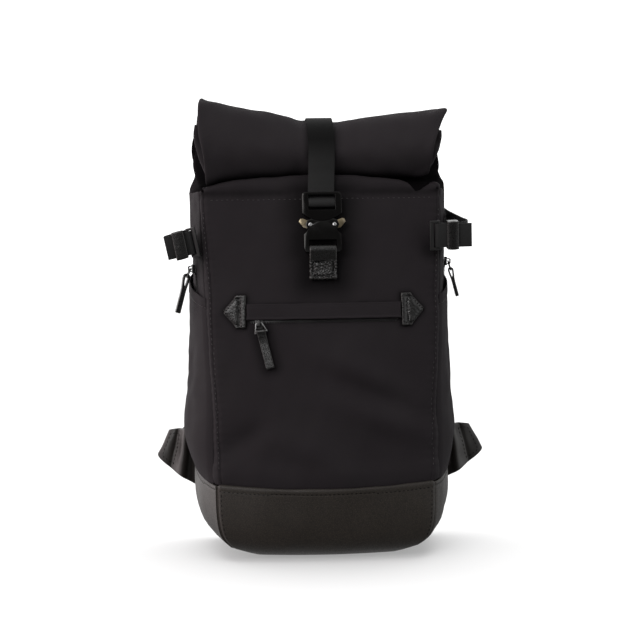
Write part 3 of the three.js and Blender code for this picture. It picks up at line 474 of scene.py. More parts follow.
def set_cut(mesh, cut):
    """Keeps a cut pattern, one place in metres for each point, as the UV map named cut."""
    corners = np.zeros(len(mesh.loops), np.int32)
    mesh.loops.foreach_get("vertex_index", corners)
    layer = mesh.uv_layers.new(name="cut")
    layer.data.foreach_set("uv", np.asarray(cut, np.float32)[corners].ravel())


def set_smooth(mesh):
    mesh.polygons.foreach_set("use_smooth", [True] * len(mesh.polygons))


def new_piece(name, points, faces, finish, cut):
    """A smooth mesh object at the origin, with its cut pattern."""
    mesh = bpy.data.meshes.new(name)
    mesh.from_pydata(points.tolist(), [], faces)
    set_cut(mesh, cut)
    set_smooth(mesh)
    mesh.materials.append(finish)
    mesh.update()
    return shown(name, mesh)


def grid_faces(first, rows, columns, wrap, flip):
    """Quads of one grid whose points start at first."""
    j, i = np.meshgrid(np.arange(rows - 1), np.arange(columns if wrap else columns - 1), indexing="ij")
    k = (i + 1) % columns
    quads = np.stack([j * columns + i, j * columns + k, (j + 1) * columns + k, (j + 1) * columns + i], -1)
    quads = quads.reshape(-1, 4) + first
    return quads[:, ::-1] if flip else quads


def rim_faces(near, far, loop):
    """Quads between two rows of points."""
    n = len(near)
    return [[near[i], near[(i + 1) % n], far[(i + 1) % n], far[i]] for i in range(n if loop else n - 1)]


def sheet_piece(name, middle, thick, finish, wrap=False):
    """A closed sheet round a middle surface, rounded at its cut edges."""
    rows, columns = middle.shape[:2]
    across, up = run_lengths(middle, 1), run_lengths(middle, 0)
    to_edge = np.minimum(up, up[-1:] - up)
    if not wrap:
        to_edge = np.minimum(to_edge, np.minimum(across, across[:, -1:] - across))
    reach = np.clip(to_edge / (thick / 2), 0.02, 1)
    half = thick / 2 * np.sqrt(1 - (1 - reach) ** 2)
    push = normals_of(middle, wrap) * half[..., None]
    points = np.concatenate([(middle + push).reshape(-1, 3), (middle - push).reshape(-1, 3)])
    count = rows * columns
    index = np.arange(count).reshape(rows, columns)
    faces = grid_faces(0, rows, columns, wrap, False).tolist()
    faces += grid_faces(count, rows, columns, wrap, True).tolist()
    edges = [(index[0], True), (index[-1], False)]
    if not wrap:
        edges += [(index[:, 0], False), (index[:, -1], True)]
    for row, flip in edges:
        near, far = (row + count, row) if flip else (row, row + count)
        faces += rim_faces(near.tolist(), far.tolist(), wrap)
    cut = np.stack([across, up], -1).reshape(-1, 2)
    return new_piece(name, points, faces, finish, np.concatenate([cut, cut]))


def soft_noise(x, y, size, seed):
    """Smooth random waves of about one size, the same each run."""
    draw = np.random.default_rng(seed)
    waves, whole_turn, total = 8, 2 * math.pi, 0
    for _ in range(waves):
        heading, phase = draw.uniform(0, whole_turn), draw.uniform(0, whole_turn)
        scale = draw.uniform(0.7, 1.5)
        along = x * math.cos(heading) + y * math.sin(heading)
        total = total + np.sin(whole_turn * along / (size * scale) + phase)
    return total / math.sqrt(waves)


def uneven(x, y, *layers):
    """Layers of soft noise added up; each has a height in mm, a size in mm and a seed."""
    return sum(height * MM * soft_noise(x, y, size * MM, seed) for height, size, seed in layers)


def ramp(value, start, over):
    """0 up to start, then evenly up to 1 over the next stretch."""
    return np.clip((value - start) / over, 0, 1)


def bump_at(distance, width):
    return np.exp(-((distance / width) ** 2))


def bands(distance, rows):
    """Soft ridges and grooves; each has its place, its reach and its depth outwards, in mm."""
    return sum(depth * MM * bump_at(distance - at * MM, reach * MM) for at, reach, depth in rows)


def dress(piece, slot, *nodes, body="pack"):
    """The piece rides on its body and stands for its solids. Its slot is not used."""
    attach(piece, body)
    if nodes:
        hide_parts(*nodes)
    print(piece.name, len(piece.data.polygons), "faces")
    return piece


print("stops along 100 mm of a 2 mm sheet:", stops(3, 100, 2).round(3))

# %% [markdown]
# ## The body's walls
# The body is a box with bowed walls. A table gives its plan at a few heights: the front seam's corner, the
# bow of each wall and the back corner. Every cloth wall, the leather base, the pockets and the stitches are
# worked out from this one surface, so they meet without fitting. The same table made the solids.

# %% body surface
BODY_TOP = 372 * MM
BASE_TOP = {"front": 71 * MM, "seam": 76 * MM, "back": 110 * MM, "rise": 1.5}
WALL_THICK, GAP = 2 * MM, 0.4 * MM
# z, seam x, seam y, front bow, side bow, back x, back y
BODY_SECTIONS = MM * np.array([
    [0, 76, -46, 8, 2, 70, 60],
    [3, 86, -58, 11, 3, 82, 70],
    [9, 96, -67.5, 13, 4.5, 95, 77],
    [20, 105, -74, 15, 8, 109, 82],
    [36, 109.5, -76.5, 16, 11, 120, 84],
    [60, 111, -77, 17, 12.5, 126, 84.5],
    [110, 111, -77, 17, 10.5, 126.5, 85],
    [160, 111, -76, 16, 9.5, 126, 85],
    [260, 116.5, -66, 13, 9.5, 124, 85],
    [330, 119.5, -54, 10.5, 10.5, 124, 85],
    [372, 120.5, -45, 9, 11, 124, 85],
])
COLLAR_SECTIONS = MM * np.array([
    [372, 120.5, -45, 9, 11, 124, 85],
    [376, 122, -37, 7, 9, 125, 84],
    [380, 124, -22, 5, 6, 126.5, 82],
    [392, 127, 4, 3, -2, 128.5, 75],
    [412, 128.5, 27, 2, -9, 129.5, 62],
    [432, 128, 42, 1, -4, 129, 52],
])
# Soft folds of the front: x, z, turn in degrees, reach along, reach across, depth outwards
FRONT_FOLDS = [
    (36, 189, -26, 48, 12, 3.0),
    (47, 165, -23, 50, 11, -1.8),
    (56, 140, -21, 56, 13, 3.0),
    (-18, 108, -26, 46, 14, 2.4),
    (-82, 122, 32, 30, 12, -2.4),
]


def fold_depth(x, z):
    depth = np.zeros(np.broadcast(x, z).shape)
    for fold_x, fold_z, turn, along, across, deep in FRONT_FOLDS:
        c, s = math.cos(math.radians(turn)), math.sin(math.radians(turn))
        a = (x - fold_x * MM) * c + (z - fold_z * MM) * s
        b = (z - fold_z * MM) * c - (x - fold_x * MM) * s
        depth = depth + deep * MM * bump_at(a, along * MM) * bump_at(b, across * MM)
    return depth


def from_front(side, share):
    """Turns a share along a side wall into a share from its front seam to the back, or the other way."""
    return share if side == "right" else 1 - share


def wall_point(rows, wall, share, z, out):
    """Points of one wall: share runs along it, anticlockwise from above, and out is outwards."""
    share, z, out = np.broadcast_arrays(share, z, out)
    _, seam_x, seam_y, front_bow, side_bow, back_x, back_y = np.moveaxis(between_rows(rows, z), -1, 0)
    seam_x, seam_y, back_x, back_y = seam_x + out, seam_y - out, back_x + out, back_y + out
    bow = 4 * share * (1 - share)
    if wall == "front":
        x = seam_x * (2 * share - 1)
        folds = fold_depth(x, z) if rows is BODY_SECTIONS else 0
        return np.stack([x, seam_y - front_bow * bow - folds, z], -1)
    if wall == "back":
        return np.stack([back_x * (1 - 2 * share), back_y, z], -1)
    behind = from_front(wall, share)
    x = seam_x + (back_x - seam_x) * behind + side_bow * bow
    return np.stack([x * SIGN[wall], seam_y + (back_y - seam_y) * behind, z], -1)


def front_point(x, z, out):
    seam_x = between_rows(BODY_SECTIONS, z)[..., 1]
    return wall_point(BODY_SECTIONS, "front", (x + seam_x) / (2 * seam_x), z, out)


def base_top(wall, share):
    """Height of the leather's top edge along a wall."""
    share = np.asarray(share, float)
    if wall == "front":
        return BASE_TOP["seam"] - (BASE_TOP["seam"] - BASE_TOP["front"]) * 4 * share * (1 - share)
    if wall == "back":
        return BASE_TOP["back"] + 0 * share
    behind = from_front(wall, share)
    return BASE_TOP["seam"] + (BASE_TOP["back"] - BASE_TOP["seam"]) * behind ** BASE_TOP["rise"]


print("body height", BODY_TOP, "front at mid height", front_point(0.0, 0.2, 0.0).round(4))

# %% [markdown]
# ## Front and sides
# The front and the sides are one layer of stiff coated cloth each, sewn together at the front corners.
# Sewing pulls the cloth in along the seam and leaves a soft ridge beside it with small puckers. Those, the
# broad folds and a little unevenness are added to the plain wall as moves along its normal, because they
# are too shallow for a simulation and have to sit where the picture shows them.

# %% front and side panels
FRONT_LENGTH, SIDE_LENGTH, BACK_LENGTH = 0.236, 0.162, 0.25
NEAR_CORNER = np.array([0, 0.7, 1.4, 2.1, 2.8, 3.4, 3.9, 4.4, 4.9, 5.5, 6.2, 7, 7.8, 9, 10.5, 12.5]) * MM
# The front laps round the corner and sinks in, and the side starts under it and is calm beside it
SEAM = {"lap": 12 * MM, "tuck": 1.4 * MM, "sinks_at": 8 * MM, "sinks_over": 4 * MM}
SEAM |= {"start": 5 * MM, "under_to": 7 * MM, "calm": 20 * MM}
# Stitched channel, groove and rolled edge: mm inside the seam, reach, depth outwards
SEAM_STITCH = 1.6
SEAM_BANDS = [(SEAM_STITCH, 1.3, -0.25), (0, 0.9, -0.8), (-2.2, 2, 0.5)]
SEAM_PUCKER = {"depth": 0.3 * MM, "wave": 9 * MM, "sway": 23 * MM, "fade": 8 * MM}
# Height, distance of the front seam from the corner
SEAM_PLACE = MM * np.array([
    [76, 4.6], [120, 2.4], [192, 0.4], [222, 1], [272, 3.2], [305, 2], [342, 0], [372, 0],
])
# The front's puffed upper edge: x, height above the body
HUMP = MM * np.array([
    [-121, 1.5], [-104, 6], [-82, 9.8], [-60, 12.5], [-30, 13.6], [0, 13.9], [30, 13.2],
    [68, 9.6], [82, 7.8], [91, 4], [100, -4], [112, -1], [121, 4],
])
HUMP_ROUND, HUMP_LEAN = 3.5 * MM, 0.22
UP = np.array([0, 0, 1.0])
TOP_STITCH_Z = 364 * MM
# Bands across the front: mm above the top stitches or the leather's edge, reach, depth outwards
TOP_BANDS = [(0, 1.8, -0.6), (4, 3, -0.9), (13, 5, 1.3)]
FOOT_BANDS = [(14, 10, 1.4), (0, 3, -1.0)]
TOP_PUCKER = {"depth": 0.15 * MM, "wave": 1.5 * MM, "above": 4 * MM, "reach": 5 * MM}
FOOT_HALF, FOLDS_AGAIN = 111 * MM, 0.6
BELLY = {"depth": 1.5 * MM, "z": 190 * MM, "wide": 95 * MM, "tall": 55 * MM}
ZIP_HOLLOW = {"depth": 1.2 * MM, "z": 239 * MM, "wide": 70 * MM, "tall": 5 * MM}
# Where the side straps press: height, reach up and down, share of the wall from its front, reach, depth
SQUEEZE = {"left": 320 * MM, "right": 326 * MM, "tall": 13 * MM, "at": 0.45, "wide": 0.4, "depth": 1.6 * MM}


def wall_stops(count, length):
    """Shares along a wall: even, with more close to both corners."""
    near = NEAR_CORNER / length
    return np.concatenate([near, np.linspace(near[-1] * 1.25, 1 - near[-1] * 1.25, count), 1 - near[::-1]])


def relief(points, moves, wrap=False):
    """A grid moved along its own normals."""
    return points + normals_of(points, wrap) * moves[..., None]


def eased_corners(points, corners, reach, rounds):
    """The grid with the columns near its corners smoothed across."""
    run = run_lengths(points, 1)
    weight = np.clip(sum(bump_at(run - run[:, [corner]], reach) for corner in corners), 0, 1)[:, 1:-1, None]
    points = points.copy()
    for _ in range(rounds):
        smooth = (points[:, :-2] + 2 * points[:, 1:-1] + points[:, 2:]) / 4
        points[:, 1:-1] += (smooth - points[:, 1:-1]) * weight
    return points


def seam_relief(distance, along):
    """Outward move beside a seam: its stitched channel, its groove, a rolled edge and puckers."""
    inside = distance - np.interp(along, SEAM_PLACE[:, 0], SEAM_PLACE[:, 1])
    wave = np.sin(2 * math.pi * along / SEAM_PUCKER["wave"] + 2 * np.sin(along / SEAM_PUCKER["sway"]))
    fading = np.exp(-np.abs(distance) / SEAM_PUCKER["fade"])
    return bands(inside, SEAM_BANDS) + SEAM_PUCKER["depth"] * wave * fading


def front_relief(points, to_seam):
    x, z = points[..., 0], points[..., 2]
    moves = seam_relief(to_seam, z) + uneven(x, z, (0.55, 75, 3), (0.22, 28, 4))
    above = z - TOP_STITCH_Z
    moves += bands(above, TOP_BANDS)
    puckers = np.sin(x / TOP_PUCKER["wave"]) * bump_at(above - TOP_PUCKER["above"], TOP_PUCKER["reach"])
    moves += TOP_PUCKER["depth"] * puckers
    sag = (BASE_TOP["seam"] - BASE_TOP["front"]) * np.clip(1 - (x / FOOT_HALF) ** 2, 0, 1)
    moves += bands(z - BASE_TOP["seam"] + sag, FOOT_BANDS) + FOLDS_AGAIN * fold_depth(x, z)
    for swell, sign in ((BELLY, 1), (ZIP_HOLLOW, -1)):
        moves += sign * swell["depth"] * bump_at(x, swell["wide"]) * bump_at(z - swell["z"], swell["tall"])
    return moves


def puffed_wall(wall, along):
    """Columns of one wall's cloth: up the wall, over its puffed edge and down behind it."""
    foot = base_top(wall, along) + GAP
    edge = wall_point(BODY_SECTIONS, wall, along, BODY_TOP, 0.0)
    inward = (wall_point(BODY_SECTIONS, wall, along, BODY_TOP, -MM) - edge) / MM
    crest = BODY_TOP + np.interp(edge[:, 0], HUMP[:, 0], HUMP[:, 1]) - HUMP_ROUND
    z = foot + (crest - foot) * stops(170, 0.3, WALL_THICK)[:, None]
    rows = wall_point(BODY_SECTIONS, wall, along[None], z, -WALL_THICK / 2)
    turn = np.radians([20, 45, 70, 95, 120, 150, 180])[:, None, None]
    over = rows[-1:] + HUMP_ROUND * ((1 - np.cos(turn)) * inward + np.sin(turn) * UP)
    return np.concatenate([rows, over, over[-1:] - UP * np.array([2, 4, 6])[:, None, None] * MM])


def front_panel():
    lap = SEAM["lap"] * np.linspace(1, 0.06, 16)
    share = wall_stops(120, FRONT_LENGTH)
    left, right = puffed_wall("left", 1 - lap / SIDE_LENGTH), puffed_wall("right", lap[::-1] / SIDE_LENGTH)
    sink = SEAM["tuck"] * ramp(lap, SEAM["sinks_at"], SEAM["sinks_over"])
    left[..., 0] += sink
    right[..., 0] -= sink[::-1]
    points = np.concatenate([left, puffed_wall("front", share), right], 1)
    points[..., 1] += HUMP_LEAN * np.clip(points[..., 2] - BODY_TOP, 0, None)
    corners = len(lap), len(lap) + len(share) - 1
    points = eased_corners(points, corners, 8 * MM, 90)
    run = run_lengths(points, 1)
    to_seam = np.minimum(run - run[:, [corners[0]]], run[:, [corners[1]]] - run)
    points = relief(points, front_relief(points, to_seam))
    piece = sheet_piece("front_cloth", points, WALL_THICK, CLOTH)
    return dress(piece, "cloth", "front_panel")


def side_panel(side):
    start = SEAM["start"] / SIDE_LENGTH
    across = start + (1 - start) * wall_stops(60, SIDE_LENGTH)[:-1]
    behind, v = np.meshgrid(across if side == "right" else across[::-1], stops(130, 0.28, WALL_THICK))
    share = from_front(side, behind)
    foot = base_top(side, share) + GAP
    to_front = behind * SIDE_LENGTH
    under = 1 - ramp(to_front, SEAM["under_to"], SEAM["sinks_over"])
    out = -WALL_THICK / 2 - SEAM["tuck"] * under
    points = wall_point(BODY_SECTIONS, side, share, foot + (BODY_TOP - foot) * v, out)
    y, z = points[..., 1], points[..., 2]
    moves = seam_relief(SIDE_LENGTH - to_front, z) + uneven(y, z, (0.6, 60, 7), (0.2, 22, 8))
    pressed = bump_at(z - SQUEEZE[side], SQUEEZE["tall"]) * bump_at(behind - SQUEEZE["at"], SQUEEZE["wide"])
    moves -= SQUEEZE["depth"] * pressed
    points = relief(points, moves * ramp(to_front, 0, SEAM["calm"]))
    piece = sheet_piece(f"side_cloth_{side}", points, WALL_THICK, CLOTH)
    return dress(piece, "cloth", f"side_panel_{side}")


front_cloth = front_panel()
side_cloth = {side: side_panel(side) for side in SIGN}

# %% [markdown]
# ## Collar and roll
# Above the body the cloth goes on as a tube. It is pressed flat and rolled forward over the front, and its
# sides fold inwards like a paper bag's. The collar is a loft round the plan, with its corners eased more
# and more towards the top. The roll is one sheet along a spiral whose ends rise where the strap doesn't
# hold them.

# %% collar
# wall, stops along it, its length
ROUND_PLAN = [
    ("front", 90, FRONT_LENGTH),
    ("right", 44, SIDE_LENGTH),
    ("back", 44, BACK_LENGTH),
    ("left", 44, SIDE_LENGTH),
]
COLLAR_TOP, BEHIND_HUMP = 432 * MM, 9 * MM


def round_plan():
    """The walls in turn, each with its stops up to the next corner."""
    return [(wall, wall_stops(count, length)[:-1]) for wall, count, length in ROUND_PLAN]


def plan_ring(rows, z, out):
    """Rows of points all round the plan, one row for each height."""
    walls = [wall_point(rows, wall, share[None], z[:, None], out) for wall, share in round_plan()]
    return np.concatenate(walls, 1)


def eased_round(points, share):
    """The grid with its corners eased round the loop by a share that grows up the rows."""
    smooth = points.copy()
    for _ in range(24):
        smooth = (np.roll(smooth, 1, 1) + 2 * smooth + np.roll(smooth, -1, 1)) / 4
    return points + (smooth - points) * share[:, None, None]


def collar():
    z = BODY_TOP + (COLLAR_TOP - BODY_TOP) * np.linspace(0, 1, 46) ** 1.4
    points = plan_ring(COLLAR_SECTIONS, z, -WALL_THICK / 2)
    inside = plan_ring(BODY_SECTIONS, BODY_TOP - np.array([9, 5, 2]) * MM, -2 * WALL_THICK)
    z, points = np.concatenate([inside[:, 0, 2], z]), np.concatenate([inside, points])
    points = eased_round(points, ramp(z, BODY_TOP, 10 * MM))
    fronts = round_plan()[0][1]
    on_front = np.zeros(points.shape[1])
    on_front[:len(fronts)] = ramp(4 * fronts * (1 - fronts), 0, 0.14)
    x, y, up = points[..., 0], points[..., 1], points[..., 2] - BODY_TOP
    loose = ramp(up, 0, 6 * MM) * (1 - 0.7 * on_front)
    points = relief(points, loose * uneven(x + y, up, (1.2, 36, 11)), True)
    points[..., 1] += BEHIND_HUMP * on_front * (1 - ramp(np.abs(up), 0, 6 * MM))
    # The collar takes the darker copy of the cloth, as painted shade
    piece = sheet_piece("collar_cloth", points, WALL_THICK, SHADED_CLOTH, wrap=True)
    return dress(piece, "cloth", "collar")


collar()

# %% roll
ROLL = {"thick": 4 * MM, "half": 127 * MM, "run": 0.24, "pinch": 0.13}
ROLL |= {"left": 24.5 * MM, "right": 12.5 * MM, "blunt": 3.6 * MM, "blunt_from": 0.92}
DROOP = {"depth": 9 * MM, "from": 0.72, "step": 8.6, "reach": 1.5}
# Pressed by the strap: mm from the middle, reach, depth outwards
STRAP_BANDS = [(21, 7, 1.1), (0, 13, -0.6)]
# step, y, z, share of the ends' rise, tuck of the left and of the right end
ROLL_PATH = np.array([
    [0, 47, 427, 0, 3, -2],
    [1, 46.5, 434, 0, 3, -2],
    [2, 42, 439, 0.5, 3, -3],
    [3, 27, 442, 0.9, 5.5, -5.5],
    [4, 5, 441.5, 1, 6, -7],
    [5, -20, 433.5, 0.9, 5, -0.5],
    [6, -43, 417, 0.5, 4, 7.5],
    [7, -49.5, 405.5, 0.2, 8, 11],
    [8, -44.5, 392, 0, 11.5, 15.5],
    [9, -35.5, 385.5, 0, 13, 16.5],
    [10, -27, 389, 0, 11, 14.5],
    [11, -12, 402, 0.1, 5, 5],
    [12, 4, 416, 0.4, 0.5, -1],
    [13, 17, 426, 0.6, 0.5, -4],
])


def roll_point(share, along):
    """Points of the roll's middle: share from its left end (-1) to its right (1), along from the collar."""
    share, along = np.broadcast_arrays(share, along)
    _, y, z, lift, left, right = np.moveaxis(between_rows(ROLL_PATH, along * (len(ROLL_PATH) - 1)), -1, 0)
    free = np.maximum(0, np.abs(share) - ROLL["pinch"]) / (1 - ROLL["pinch"])
    lifted = np.where(share < 0, ROLL["left"] * free, ROLL["right"] * free ** 1.3)
    at_end = ramp(share, ROLL["blunt_from"], 1 - ROLL["blunt_from"])
    lifted = lifted - ROLL["blunt"] * at_end ** 2
    x = share * (ROLL["half"] - MM * np.where(share < 0, left, right))
    return np.stack([x, y * MM, z * MM + lift * lifted], -1)


def roll():
    lengths = 2 * ROLL["half"], ROLL["run"]
    u, along = np.meshgrid(*(stops(150, length, ROLL["thick"]) for length in lengths))
    share = 2 * u - 1
    points = roll_point(share, along)
    x, run = points[..., 0], along * ROLL["run"]
    moves = uneven(x, run, (0.7, 80, 21), (0.3, 30, 22)) + bands(np.abs(x), STRAP_BANDS)
    end = ramp(np.abs(share), 0.8, 0.2) ** 2
    points = relief(points, moves + end * uneven(x, run, (1.4, 26, 23)))
    to_left = ramp(-share, DROOP["from"], 1 - DROOP["from"])
    step = along * (len(ROLL_PATH) - 1)
    points[..., 2] -= DROOP["depth"] * to_left ** 1.5 * bump_at(step - DROOP["step"], DROOP["reach"])
    points[..., 0] += np.sign(share) * end * 1.1 * MM * np.sin(run / (11 * MM))
    piece = sheet_piece("roll_cloth", points, ROLL["thick"], CLOTH)
    return dress(piece, "cloth", "roll_top")


roll()

# %% [markdown]
# ## Leather base
# The base is a tub of thick waxed leather: a strip in front, one round the sides and the back, and a bottom,
# with upright seams at the front corners. Its edge stands a little proud of the cloth that it is sewn over.
# One loft goes round the plan and up the outside, over the rounded edge and down inside, and the flat
# underside closes it.

# %% leather base
LEATHER, BASE_FLOOR, BASE_PROUD = 2.4 * MM, 5 * MM, 0.5 * MM
BASE_LEVELS = MM * np.array([0, 0.8, 1.8, 3, 4.8, 6.8, 9, 12, 16, 20, 26, 32, 38, 45, 52, 58])
FRONT_LEATHER = {"raised": 1.6 * MM, "slope": 3.4 * MM, "groove": 0.4 * MM, "at": 1.4 * MM, "wide": 0.8 * MM}
BOTTOM_ROUND = {"foot": 0.66, "height": 9 * MM}
BOTTOM_LIFT = {"height": 3.6 * MM, "from": 66 * MM, "over": 24 * MM, "up_to": 30 * MM}
# Over the leather's edge: mm above it, mm outwards
BASE_LIP = [
    (-6.4, 0), (-5.3, -0.06), (-4.5, -0.2), (-3.7, -0.06), (-2.6, 0), (-0.9, 0),
    (-0.35, -0.1), (0.05, -0.6), (0.1, -1.2), (-0.4, -2.0), (-3, -2.4),
]
# Heights inside the tub; the outside's plan, up to INSIDE_TOP, is squeezed in above the floor
INSIDE_LEVELS, INSIDE_TOP = MM * np.array([40, 26, 16, 10, 6.5]), 60 * MM


def base_rows(walls):
    """Heights and outward offsets all round the plan, from the floor up the outside and over the edge."""
    top = np.concatenate([base_top(wall, share) for wall, share in walls])
    neck = BASE_LEVELS[-1]
    rows = [(np.full_like(top, z), BASE_PROUD * min(1, z / (9 * MM))) for z in BASE_LEVELS]
    rows += [(neck + (top - 8 * MM - neck) * s, BASE_PROUD) for s in (0.34, 0.67, 1)]
    rows += [(top + rise * MM, BASE_PROUD + out * MM) for rise, out in BASE_LIP]
    return rows + [(neck + (top - neck) * 0.4, BASE_PROUD - LEATHER)]


def leather_base():
    walls = round_plan()
    ends = np.cumsum([len(share) for _, share in walls])[:-1]
    rings = []
    for z, out in base_rows(walls):
        heights = np.split(z, ends)
        rings.append(np.concatenate([
            wall_point(BODY_SECTIONS, wall, share, part, out) for (wall, share), part in zip(walls, heights)
        ]))
    outside = len(rings) - 2
    for z in INSIDE_LEVELS:
        level = (z - BASE_FLOOR) * INSIDE_TOP / (INSIDE_TOP - BASE_FLOOR)
        ring = plan_ring(BODY_SECTIONS, np.array([level]), BASE_PROUD - LEATHER)[0]
        ring[:, 2] = z
        rings.append(ring)
    fronts, turn = len(walls[0][1]), 40
    points = np.stack(rings)
    points = np.concatenate([points[:, -turn:], points, points[:, :turn]], 1)
    points = eased_corners(points, (turn, turn + fronts), 8 * MM, 90)[:, turn:-turn]
    low = np.sqrt(ramp(points[:outside, :, 2], 0, BOTTOM_ROUND["height"]))
    points[:outside, :, 0] *= BOTTOM_ROUND["foot"] + (1 - BOTTOM_ROUND["foot"]) * low
    x, z = points[1:outside, :, 0], points[1:outside, :, 2]
    aside = ramp(np.abs(x), BOTTOM_LIFT["from"], BOTTOM_LIFT["over"])
    z += BOTTOM_LIFT["height"] * aside ** 1.5 * (1 - ramp(z, 0, BOTTOM_LIFT["up_to"]))
    loop = run_lengths(np.concatenate([points, points[:, :1]], 1), 1)
    moves = uneven(points[..., 0] + points[..., 1], points[..., 2], (0.35, 48, 31))
    inside = np.minimum(loop[:, :fronts], loop[:, [fronts]] - loop[:, :fronts])
    from_edge = inside - FRONT_LEATHER["at"]
    rising = np.sin(math.pi / 2 * ramp(from_edge, 0, FRONT_LEATHER["slope"]))
    moves[:, :fronts] += FRONT_LEATHER["raised"] * rising
    moves[:, :fronts] -= FRONT_LEATHER["groove"] * bump_at(from_edge, FRONT_LEATHER["wide"])
    moves[outside:] = 0
    points = relief(points, moves * ramp(points[..., 2], 0, 14 * MM), True)
    points[0, :, 2] = 0
    rows, columns = points.shape[:2]
    faces = grid_faces(0, rows, columns, True, False).tolist()
    faces.append(list(range(columns))[::-1])
    faces.append(list(range((rows - 1) * columns, rows * columns)))
    cut = np.stack([loop[:, :-1], run_lengths(points, 0)], -1).reshape(-1, 2)
    piece = new_piece("leather_tub", points.reshape(-1, 3), faces, BASE_LEATHER, cut)
    piece.data.set_sharp_from_angle(angle=math.radians(60))
    return dress(piece, "leather", "leather_base")


leather_tub = leather_base()

# %% [markdown]
# ## Side pockets and the front pocket's strip
# Each side carries a flat pocket that stands off the wall and is open along a slanting, hemmed edge. The
# front pocket's zip lies under a stiff strip of the same cloth. All three are sheets on the body's own
# surface, moved outwards, with the hem as a thicker band with a stitched groove.

# %% pockets
POCKET = {"front": 263 * MM, "rise": 28 * MM, "thick": 1.6 * MM, "edge": 0.4 * MM, "hem": 11 * MM}
POCKET |= {"seam": (0.045, 0.98), "wide": 0.16, "tall": 0.18, "fullness": 0.8, "left": 1.35, "right": 1.0}
# share of the way up, depth away from the wall
POCKET_DEPTH = np.array([[0, 0.5], [0.1, 6.5], [0.22, 9], [0.5, 5.4], [0.75, 3.4], [1, 2.2]])
WELT = {"half": 75.5 * MM, "low": 242.6 * MM, "tall": 15.6 * MM, "thick": 2.2 * MM, "proud": 2 * MM}


def pocket_height(side, behind, v):
    foot = base_top(side, from_front(side, behind)) + 2 * GAP
    return foot + (POCKET["front"] + POCKET["rise"] * behind - foot) * v


def pocket_point(side, behind, v, extra=0.0):
    """Points of a pocket's outer face: behind runs from the front seam to the back, v from foot to mouth."""
    first, last = POCKET["seam"]
    u = (behind - first) / (last - first)
    depth = between_rows(POCKET_DEPTH, v)[..., 1] * MM * POCKET[side]
    edge = POCKET["edge"] + 1.6 * MM * (1 - ramp(u, 0, 0.06))
    out = -edge + (depth + edge) * np.sin(math.pi * np.clip(u, 0, 1)) ** POCKET["fullness"]
    z = pocket_height(side, behind, v)
    return wall_point(BODY_SECTIONS, side, from_front(side, behind), z, out + extra)


def side_pocket(side):
    thick = POCKET["thick"]
    u, v = np.meshgrid(stops(80, POCKET["wide"], thick), stops(110, POCKET["tall"], thick))
    first, last = POCKET["seam"]
    behind = first + (last - first) * from_front(side, u)
    points = pocket_point(side, behind, v, thick / 2)
    y, z = points[..., 1], points[..., 2]
    to_mouth = (1 - v) * POCKET["tall"]
    moves = 0.5 * MM * ramp(POCKET["hem"] - to_mouth, 0, 1.5 * MM)
    moves -= 0.6 * MM * bump_at(to_mouth - POCKET["hem"], 1.2 * MM)
    inner = np.sin(math.pi * u) * np.sin(math.pi * np.clip(v, 0, 0.9))
    points = relief(points, moves + inner * uneven(y, z, (0.7, 48, 41), (0.3, 20, 42)))
    piece = sheet_piece(f"pocket_cloth_{side}", points, thick, CLOTH)
    return dress(piece, "cloth", f"side_pocket_{side}")


def pocket_strip():
    thick = WELT["thick"]
    u, v = np.meshgrid(stops(120, 2 * WELT["half"], thick), stops(16, WELT["tall"], thick))
    x = WELT["half"] * (2 * u - 1)
    lip = 1.2 * MM * (1 - ramp(v, 0, 0.25)) ** 2
    points = front_point(x, WELT["low"] + WELT["tall"] * v, WELT["proud"] + thick / 2 + lip)
    moves = uneven(x, points[..., 2], (0.25, 24, 51))
    for stitched in (0.12, 0.88):
        moves -= 0.35 * MM * bump_at(v - stitched, 0.06)
    points = relief(points, moves)
    piece = sheet_piece("pocket_strip", points, thick, CLOTH)
    return dress(piece, "cloth", "pocket_welt")


pocket_cloth = {side: side_pocket(side) for side in SIGN}
pocket_strip()

# %% [markdown]
# ## Padding
# The back panel and the carrying straps are foam in a mesh cover. Foam swells a cover evenly between its
# seams, which is what a short cloth simulation with air pressure does: the start shape is remeshed to an
# even net, its sewn border is pinned, and the rest is blown up for twenty frames and stopped after a few
# millimetres.

# %% padding helper
PAD = {"voxel": 4.5 * MM, "pressure": 4.0, "frames": 20}


def copy_without_modifiers(name, source, finish):
    """The evaluated shape of an object as a plain new mesh object."""
    shape = source.evaluated_get(bpy.context.evaluated_depsgraph_get())
    mesh = bpy.data.meshes.new_from_object(shape)
    mesh.name = name
    mesh.materials.clear()
    mesh.materials.append(finish)
    return shown(name, mesh)


def mesh_points(mesh):
    points = np.zeros(len(mesh.vertices) * 3)
    mesh.vertices.foreach_get("co", points)
    return points.reshape(-1, 3)


def drop(thing):
    mesh = thing.data
    bpy.data.objects.remove(thing)
    bpy.data.meshes.remove(mesh)


def even_net(thing, size):
    """Gives a shape an even net of faces of one size."""
    net = thing.modifiers.new("net", "REMESH")
    net.mode = "VOXEL"
    net.voxel_size = size


